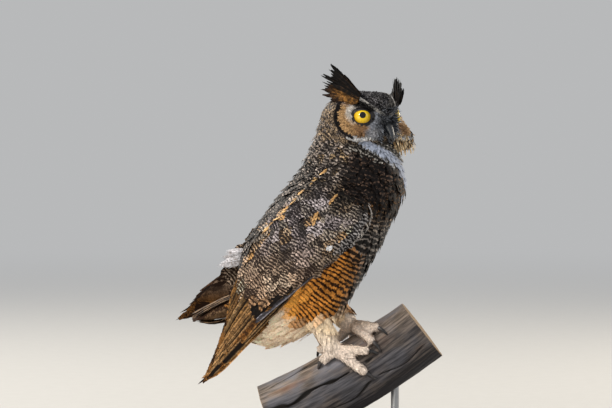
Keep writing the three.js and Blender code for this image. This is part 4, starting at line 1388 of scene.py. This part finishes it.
def add_lid_feathers(side, points, r):
    """Fine pale feathers that run out over the lids from the black rim."""
    rng, count = np.random.default_rng(55), 180
    ahead, out, up = gaze(side)
    rim = almond(TURNS, LID_OUTER, 1.8)
    index = np.array([np.interp(rim[k], r[:, k], np.arange(len(r))) for k in range(len(TURNS))])
    made = []
    for layer, (inset, reach) in enumerate(((0.2, 7.5), (1.6, 8.5), (3.2, 9.0))):
        at = (np.arange(count) + rng.random(count) * 0.8 + layer / 3) / count * len(TURNS) % len(TURNS)
        k = at.astype(int)
        row = np.clip(index[k] + inset * 1.5, 0, len(r) - 1.01)
        low = row.astype(int)
        here = mix(points[low, k], points[low + 1, k], (row - low)[:, None])
        a = np.radians(TURNS[k])[:, None]
        target = here + (np.cos(a) * out + np.sin(a) * up) * reach - ahead * (1.5 + 1.2 * layer)
        on, triangle = surface.nearest(target)
        normal = skin_value(skin_normals, spot(on, triangle))
        tips = np.where((dot(target - on, normal) < 1.5)[:, None], on + normal * 2.2, target)
        made.append((here - ahead * 0.3, tips, unit(ahead + 0.3 * rng.normal(size=(count, 3)))))
    roots, tips, ups = (np.vstack(part) for part in zip(*made))
    look = plumage_look(mix(roots, tips, 0.6), np.full(len(roots), PART["head"]))
    bend = ahead * np.full((len(roots), 1), 0.9)
    plumes(f"eyelid_feathers_{side}", roots, tips, bend, ups, 1.9, look, (4, 2, 0.25, 0.15), 56)


def add_eyes():
    """The globes, the lids round them and the fine feathers on the lids."""
    globe_material = eye_material()
    rim_material = grained_material(
        "lid", (1, 1, 1), (900.0, 2.0), None, ("#0b090a", "#1b1718"), (0.3, 0.0003), roughness=0.45
    )
    for side, sign in SIDES.items():
        add_globe(side, globe_material)
        ahead, out, up = gaze(side)
        share, turn = np.meshgrid(np.linspace(0, 1, LID_RINGS + 1), TURNS, indexing="ij")
        back = np.maximum(almond(turn, LID_OUTER, 1.8), LID_BACK)
        r = mix(almond(turn, LID_INNER), back, share)
        a = np.radians(turn)
        centre = from_head(eye_place(sign))
        flat = centre + (r * np.cos(a))[..., None] * out + (r * np.sin(a))[..., None] * up
        hit = surface.ray((flat + ahead * 60).reshape(-1, 3), np.broadcast_to(-ahead, (flat.size // 3, 3)))
        skin_high = np.nan_to_num((hit - centre) @ ahead, nan=-20).reshape(r.shape)
        high = np.where(share == 1, skin_high - 1, lid_height(r, turn, share, skin_high))
        points = flat + high[..., None] * ahead
        add_lid_feathers(side, points, r)
        faces = ring_faces(LID_RINGS, len(TURNS), side == "right")
        finished(mesh_from(f"eyelids_{side}", points.reshape(-1, 3), faces), rim_material, "eye")


add_eyes()


# Each ear tuft fans out from its base: (turn in degrees, length) from the front feather to the rear.
TUFTS = {
    "right": dict(
        base=(27, -43, 36), reach=(-31, -27, 45), count=34, wide=6.6, spread=9, rust=20,
        fan=((-5, 40), (-1, 58), (7, 52), (13, 56), (20, 61), (28, 52), (37, 56), (45, 50), (56, 42),
             (64, 32)),
    ),
    "left": dict(
        base=(21, 46.5, 27), reach=(-23, 20, 37), count=38, wide=8.0, spread=11, rust=60,
        fan=((-38, 14), (-26, 20), (-16, 34), (-9, 44), (-3, 50), (2, 54), (7, 46), (13, 28), (20, 14)),
    ),
}  # fmt: skip
BLACK, RUST, RUSTY_TIP = linear("#15100f"), linear("#a07038"), linear("#2a1b12")
BLACK_TIP = linear("#0a0808")


def turned_about(v, axis, angle):
    """A vector turned about an axis by one angle for each feather."""
    c, s = np.cos(angle)[:, None], np.sin(angle)[:, None]
    return v * c + np.cross(axis, v) * s + axis * (v @ axis) * (1 - c)


def add_tufts():
    """The ear tufts: feathers in a fan, black with rust at the rear."""
    for side, tuft in TUFTS.items():
        rng = np.random.default_rng(61)
        sign, count = SIDES[side], tuft["count"]
        reach = unit(np.array(tuft["reach"], float))
        face = np.array([0.2, 0.9 * sign, -0.1])
        face = unit(face - (face @ reach) * reach)
        share = (np.arange(count) * 0.618) % 1
        degrees, lengths = np.array(tuft["fan"], float).T
        turn = mix(degrees[0], degrees[-1], share)
        long = np.interp(turn, degrees, lengths) * rng.uniform(0.62, 1.02, count)
        along = turned_about(reach, face, -sign * np.radians(turn))
        middle = turned_about(reach, face, -sign * np.radians(np.array([degrees.mean()])))[0]
        broad = np.cross(middle, face) * sign
        layer = np.linspace(-2.2, 2.2, count)[:, None]
        roots = np.array(tuft["base"]) + broad * ((share - 0.5) * 2 * tuft["spread"])[:, None]
        roots = roots + face * layer - along * 6
        tips = roots + along * (long + 6)[:, None]
        bend = np.cross(face, along) * sign * rng.normal(0, 1.2, (count, 1))
        rust = smooth(turn, tuft["rust"], tuft["rust"] + 14)[:, None]
        ground = mix(BLACK, RUST, rust)
        look = plain_look(
            ground, "#050404", 0.9 - 0.2 * rust[:, 0], mix(0.7, 0.5, rust[:, 0]), 0.8, 9, streak=0.4,
            tip=mix(BLACK_TIP, RUSTY_TIP, rust), edge=linear("#4d3a2a"), edging=0.6,
        )  # fmt: skip
        width = tuft["wide"] * rng.uniform(0.8, 1.15, count)
        ups = turned(face + 0.25 * rng.normal(size=(count, 3)), HEAD_YAW)
        roots, tips, bend = (turned(v, HEAD_YAW) for v in (roots, tips, bend))
        piece = plumes(
            f"ear_tuft_feathers_{side}", roots + HEAD_CENTRE, tips + HEAD_CENTRE, bend, ups, width, look,
            (8, 6, 0.05, 0.16), 0, "feather", "tuft", stem=0.8,
        )  # fmt: skip
        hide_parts(f"ear_tuft_{side}")


add_tufts()

PLUME_ROOT, PLUME_TIP = np.array([-108.0, 42.0, 322.0]), np.array([-160.0, 50.0, 315.0])


def add_plume():
    """The downy tuft that stands out behind the wing."""
    rng, count = np.random.default_rng(71), 16
    share = np.linspace(-1, 1, count)[:, None]
    run = PLUME_TIP - PLUME_ROOT
    roots = PLUME_ROOT + share * [2, 3, 5] + rng.normal(0, 1.2, (count, 3))
    tips = roots + run * rng.uniform(0.72, 0.98, (count, 1)) + share * [2, 3, 8]
    look = plain_look(linear("#bdbbbf"), "#6b5440", 0.6, 0.14, 0.7, 30)
    ups = np.array([0.1, -1.0, 0.35]) + 0.5 * rng.normal(size=(count, 3))
    bend = UP * rng.uniform(0, 3, (count, 1))
    net = (8, 8, 0.16, 0.2)
    piece = plumes("rump_plume_feathers", roots, tips, bend, ups, 11.0, look, net, 0, slot="plume")
    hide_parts("rump_plume")


add_plume()


def add_bristles():
    """Stiff hairlike feathers that sweep forward over the sides of the bill, and stand between the eyes."""
    h = to_head(skin_points)
    sides = np.abs(h[:, 1])
    low = (size((h - [40, 0, -4]) / [1, 1.1, 1.7]) < 17) & (sides > 6)
    high = (h[:, 0] > 30) & (h[:, 2] > -2) & (h[:, 2] < 19) & (sides > 1) & (sides < 13)
    kinds = (
        ("bristles", low, 1.6, (6, 12), -0.35, 0.35),
        ("bridge_bristles", high, 1.7, (11, 18), 0.2, 0.55),
    )
    for name, near, gap, reach, climb, apart in kinds:
        rng = np.random.default_rng(81)
        wanted = (near & is_part(skin_part, "head")).astype(float)
        places, triangle = scatter(wanted, np.full(len(h), gap), 82)
        q = to_head(places)
        up = turned(unit(skin_value(skin_normals, spot(places, triangle))), -HEAD_YAW)
        spray = np.array([0.9, 0, climb]) + np.array([0, apart, 0]) * np.sign(q[:, 1:2])
        way = unit(spray + 0.45 * up + 0.16 * rng.normal(size=q.shape))
        length = rng.uniform(*reach, (len(q), 1))
        tips = q + way * length - np.array([0, 0, 2.0]) * (climb < 0)
        ups = turned(unit(np.cross(way, up)) + 0.6 * up, HEAD_YAW)
        look = plain_look(shades_between(rng, ("#1d1f24", "#8b9099"), len(q), 2), "#1b1b1e", 0.3, 0.3, 0.5, 9)
        roots, tips, bend = from_head(q), from_head(tips), turned(up * length * 0.07, HEAD_YAW)
        plumes(name, roots, tips, bend, ups, 1.2, look, (4, 2, 0.3, 0.1), 83, cup=0.1, stem=0.7)


add_bristles()
add_cheek()
add_trims()
add_wing_marks()
add_visors()


# ---- Bill and claws ----
def horn_material(name, dark, pale, roughness):
    """Horn with a fine grain along its length."""
    return grained_material(
        name, (1, 1, 0.35), (300.0, 3.0), (0.35, 0.7), (dark, pale), (0.25, 0.0003),
        roughness=roughness, coat_weight=0.25, coat_roughness=0.2,
    )  # fmt: skip


def add_refined(name, nodes, voxel, material, slot):
    """The nodes' own shape with a finer, smoother surface."""
    piece = remeshed(name, nodes, voxel)
    set_points(piece, relaxed(piece, arrays_of(piece.data)[0], 3))
    finished(piece, material, slot, *nodes)


bill_horn = horn_material("bill_horn", "#0d0e11", "#1f242b", 0.5)
claw_horn = horn_material("claw_horn", "#0c0b0c", "#3a3433", 0.3)
add_refined("upper_bill", ["bill_upper"], 0.6, bill_horn, "bill")
add_refined("lower_bill", ["bill_lower"], 0.6, bill_horn, "bill")
for side in SIDES:
    add_refined(f"claws_{side}", [f"claw_{side}_{toe}" for toe in TOES], 0.5, claw_horn, "claw")


# ---- The limb ----
LIMB_VOXEL, LIMB_LONG, LIMB_RADIUS = 1.5, 260, 26
GRAIN_LONG, GRAIN_ROUND = 250, 24  # millimetres of grain to the limb's length, and to a radian round it
ROD_X, ROD_Y = (-46, 98), 15
CRACKS = (  # (degrees round from the top towards the far side, start and end share, depth, width, waviness)
    (-74, 0.0, 0.74, 7.0, 3.4, 7),
    (-28, 0.05, 0.6, 3.2, 1.6, 9),
    (-112, 0.3, 1.0, 3.0, 1.8, 8),
    (22, 0.3, 1.0, 3.5, 1.8, 10),
    (70, 0.0, 0.55, 3.0, 1.8, 8),
    (150, 0.2, 0.9, 4.0, 2.2, 12),
)


def limb_place(p):
    """Share along the limb, degrees round from its top, and how far out each point lies."""
    t = np.linspace(-0.3, 1.3, 161)
    a, b, c = PERCH_LINE
    curve = (1 - t)[:, None] ** 2 * a + 2 * (t * (1 - t))[:, None] * b + t[:, None] ** 2 * c
    run = unit(np.gradient(curve, axis=0))
    k = size(p[:, None] - curve[None]).argmin(1)
    off = p - curve[k]
    up = unit(UP - run[k][:, 2:] * run[k])
    across = np.cross(run[k], up)
    high, far = dot(off, up), -dot(off, across)
    far = np.where(across[:, 1] > 0, -far, far)
    turn = np.degrees(np.arctan2(dot(off, np.array([0, 1.0, 0])), high))
    return t[k] + dot(off, run[k]) / LIMB_LONG, turn, np.hypot(high, far)


def make_limb():
    """The limb with its grain, hollows and cracks, sunk less where it is held."""
    limb = remeshed("limb", ["perch"], LIMB_VOXEL)
    places = relaxed(limb, arrays_of(limb.data)[0], 2)
    set_points(limb, places)
    out = normals_of(limb.data)
    share, turn, far = limb_place(places)
    a, _, c = PERCH_LINE
    run = unit(c - a)
    end = np.abs(dot(out, run))
    long_way, round_way = share * GRAIN_LONG, np.radians(turn) * GRAIN_ROUND
    grain = np.stack([long_way / 46, round_way / 3.0, far / 30], -1)
    coarse = np.stack([long_way / 60, round_way / 11.0, far / 40], -1)
    ridge = 1 - np.abs(noise(grain, 1.0, 31))
    fine = 1 - np.abs(noise(grain * [2.2, 2.6, 2.0], 1.0, 32))
    swell = noise(coarse, 1.0, 33)
    sink = 1.1 * (1 - ridge) + 0.45 * (1 - fine) + 1.5 * np.clip(-swell, 0, 1)
    cracks = np.zeros(len(places))
    for at, start, stop, depth, wide, wander in CRACKS:
        line = np.stack([share * 6, share * 0 + at, share * 0], -1)
        middle = at + wander * noise(line, 1.0, 34)
        off = np.abs((turn - middle + 180) % 360 - 180) * math.radians(1) * LIMB_RADIUS
        open_ = smooth(share, start - 0.02, start + 0.08) * smooth(share, stop + 0.02, stop - 0.12)
        width = wide * (0.6 + 0.5 * noise(line * [3, 1, 1], 1.0, 35))
        cracks = np.maximum(cracks, depth * open_ * smooth(off, np.maximum(width, 0.8), 0))
    held = np.ones(len(places))
    holders = [f"claw_{side}_{toe}" for side in SIDES for toe in TOES] + [f"leg_{side}" for side in SIDES]
    for name in holders:
        gap = size(places - Surface(*joined_solids([name])).nearest(places)[0])
        held = np.minimum(held, smooth(gap, 1, 9))
    for x in ROD_X:
        gap = np.hypot(places[:, 0] - x, places[:, 1] - ROD_Y)
        held = np.minimum(held, smooth(gap, 9, 18) + (out[:, 2] > 0))
    side_only = smooth(end, 0.9, 0.6)
    sink = sink * mix(0.35, 1, held) * side_only + cracks * held * side_only
    rings = noise(np.stack([far / 1.1, share * 0, share * 0], -1), 1.0, 36)
    sink = sink + (1 - side_only) * (0.35 + 0.35 * rings)
    places = places - out * sink[:, None]
    set_points(limb, places)
    place = np.stack([share * (GRAIN_LONG * MM), np.radians(turn) * (GRAIN_ROUND * MM), far * MM], -1)
    # Where the underside's painted shade lies, which the material darkens.
    below = smooth(turn, -40, -78) * smooth(turn, -178, -150) + 0.8 * smooth(np.abs(turn), 110, 150)
    # hollow: how deep each point is sunk, which the material turns into painted shade.
    tag(limb, limb=place, hollow=sink, end=1 - side_only, below=below)
    finished(limb, limb_material(), "wood", "perch")


def limb_material():
    """Weathered wood: long grain with grey and brown patches, painted shade on the underside and in the
    hollows, pale at the cut ends.
    """
    n = Nodes("weathered_wood")
    where = n.attribute("limb").outputs["Vector"]
    far = n.split(where)[2]
    long_grain = n.noise(n.stretched(where, (22, 520, 90)), 1.0, 5.0, 0.65)
    patches = n.noise(n.stretched(where, (14, 40, 20)), 1.0, 3.0)
    colour = n.blend(n.step(long_grain, 0.32, 0.68), "#43392f", "#948579")
    colour = n.blend(n.step(patches, 0.42, 0.62, 0.0, 0.75), colour, "#7a7d88")
    warm = n.step(n.noise(n.stretched(where, (9, 60, 20)), 1.0, 3.0), 0.56, 0.7, 0.0, 0.55)
    colour = n.blend(warm, colour, "#8a5f3d")
    # Painted shade on the underside, a little weaker on the pale grain.
    painted_shade_below = n.mul(n.attribute("below").outputs["Fac"], n.step(long_grain, 0.25, 0.66, 1.0, 0.6))
    colour = n.blend(painted_shade_below, colour, "#1d1a1e")
    # Painted shade in the hollows and cracks, darker the deeper the surface is sunk.
    hollow = n.step(n.attribute("hollow").outputs["Fac"], 0.9, 3.2)
    colour = n.blend(hollow, colour, "#17120f")
    rings = n.math("SINE", n.add(n.mul(far, 3600.0), n.mul(n.noise(n.place(), 60.0), 9.0)))
    cut = n.blend(n.step(rings, -0.6, 0.9), "#8c7355", "#bfa681")
    cut = n.blend(n.noise(n.place(), 90.0, 3.0), cut, "#6e5a47")
    colour = n.blend(n.attribute("end").outputs["Fac"], colour, cut)
    n.bump(long_grain, 0.6, 0.0012)
    return n.finish(colour, roughness=0.85)


make_limb()


# ---- The stand ----
def stand_material():
    """Stained wood with open pores."""
    n = Nodes("stained_wood")
    grain = n.noise(n.stretched(n.place(), (6, 60, 60)), 3.0, 5.0, 0.6)
    pores = n.noise(n.stretched(n.place(), (30, 700, 700)), 1.0, 2.0)
    colour = n.blend(n.step(grain, 0.3, 0.7), "#2c1c13", "#52361f")
    colour = n.blend(n.step(pores, 0.6, 0.72, 0.0, 0.6), colour, "#150c07")
    n.bump(pores, 0.15, 0.0003)
    return n.finish(colour, roughness=0.42, coat_weight=0.3, coat_roughness=0.25)


def rod_material():
    """Brushed steel."""
    n = Nodes("brushed_steel")
    brush = n.noise(n.stretched(n.place(), (900, 900, 30)), 1.0, 3.0)
    n.bump(brush, 0.1, 0.0002)
    colour = n.blend(brush, "#85878a", "#b9bbbe")
    return n.finish(colour, roughness=n.step(brush, 0.2, 0.8, 0.28, 0.42), metallic=1.0)


STAND = {"stand_base": stand_material, "stand_rod_left": rod_material, "stand_rod_right": rod_material}
for name, make_material in STAND.items():
    material = make_material()
    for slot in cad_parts[name].material_slots:
        slot.material = material


# ---- Camera, light and floor ----
VIEW_AT = np.array([-31.9, 0.0, 400.2])
VIEW_WIDE, VIEW_FAR, VIEW_UP, SENSOR = 887.4, 4000.0, math.radians(3), 36
ROOM, ROOM_GLOW = (0.8, 0.81, 0.82, 1), 0.6


def add_stage():
    """The photo's view of the part, five lamps and a pale room."""
    camera = add_object("camera", bpy.data.cameras.new("camera"))
    camera.data.sensor_width = SENSOR
    camera.data.lens = SENSOR * VIEW_FAR / VIEW_WIDE
    camera.location = (VIEW_AT + VIEW_FAR * np.array([0, -math.cos(VIEW_UP), math.sin(VIEW_UP)])) * MM
    camera.rotation_euler = (math.pi / 2 - VIEW_UP, 0, 0)
    bpy.context.scene.camera = camera
    lights = (
        ("key", (-2.0, -2.2, 2.8), 1.1, 105, (1.0, 0.96, 0.9)),
        ("fill", (3.0, -1.2, 1.9), 2.0, 14, (0.86, 0.93, 1.0)),
        ("bounce", (-1.5, -1.9, 0.3), 1.6, 20, (1.0, 0.93, 0.82)),
        ("rim", (-1.6, 2.2, 2.2), 0.9, 60, (1.0, 0.94, 0.85)),
        ("far_rim", (2.4, 1.7, 1.2), 0.9, 60, (1.0, 0.9, 0.76)),
    )
    for name, place, wide, power, colour in lights:
        lamp = add_object(name, bpy.data.lights.new(name, "AREA"))
        lamp.data.shape, lamp.data.size = "DISK", wide
        lamp.data.energy, lamp.data.color = power, colour
        lamp.location = place
        lamp.rotation_euler = (Vector(place) - Vector((0, 0, 0.35))).to_track_quat("Z", "Y").to_euler()
    world = bpy.data.worlds.new("pale_room")
    bpy.context.scene.world = world
    world.use_nodes = True
    background = world.node_tree.nodes["Background"].inputs
    background["Color"].default_value, background["Strength"].default_value = ROOM, ROOM_GLOW
    bpy.context.scene.view_settings.view_transform = "Standard"


def add_floor():
    """A wide pale floor that fades into the room."""
    segments, rims = 96, np.array([0.02, 0.5, 1.5, 4.0, 12.0]) * 1000
    ring = np.linspace(0, 2 * math.pi, segments + 1)[:-1]
    points = [(r * math.cos(a), r * math.sin(a), 0.0) for r in rims for a in ring]
    floor = mesh_from("floor", np.array(points), ring_faces(len(rims) - 1, segments))
    n = Nodes("pale_floor")
    far = n.node("ShaderNodeVectorMath", {0: n.place()}, operation="LENGTH").outputs["Value"]
    glow = n.node("ShaderNodeEmission", {"Color": ROOM, "Strength": ROOM_GLOW}).outputs[0]
    shade = n.node("ShaderNodeMixShader", {0: n.step(far, 0.7, 5.0), 1: n.shader.outputs[0], 2: glow})
    n.link(shade.outputs[0], n.tree.nodes["Material Output"].inputs["Surface"])
    colour = n.blend(n.noise(n.place(), 40.0, 3.0), "#b9b8b5", "#c0bfbc")
    floor.data.materials.append(n.finish(colour, roughness=0.7))


add_stage()
add_floor()
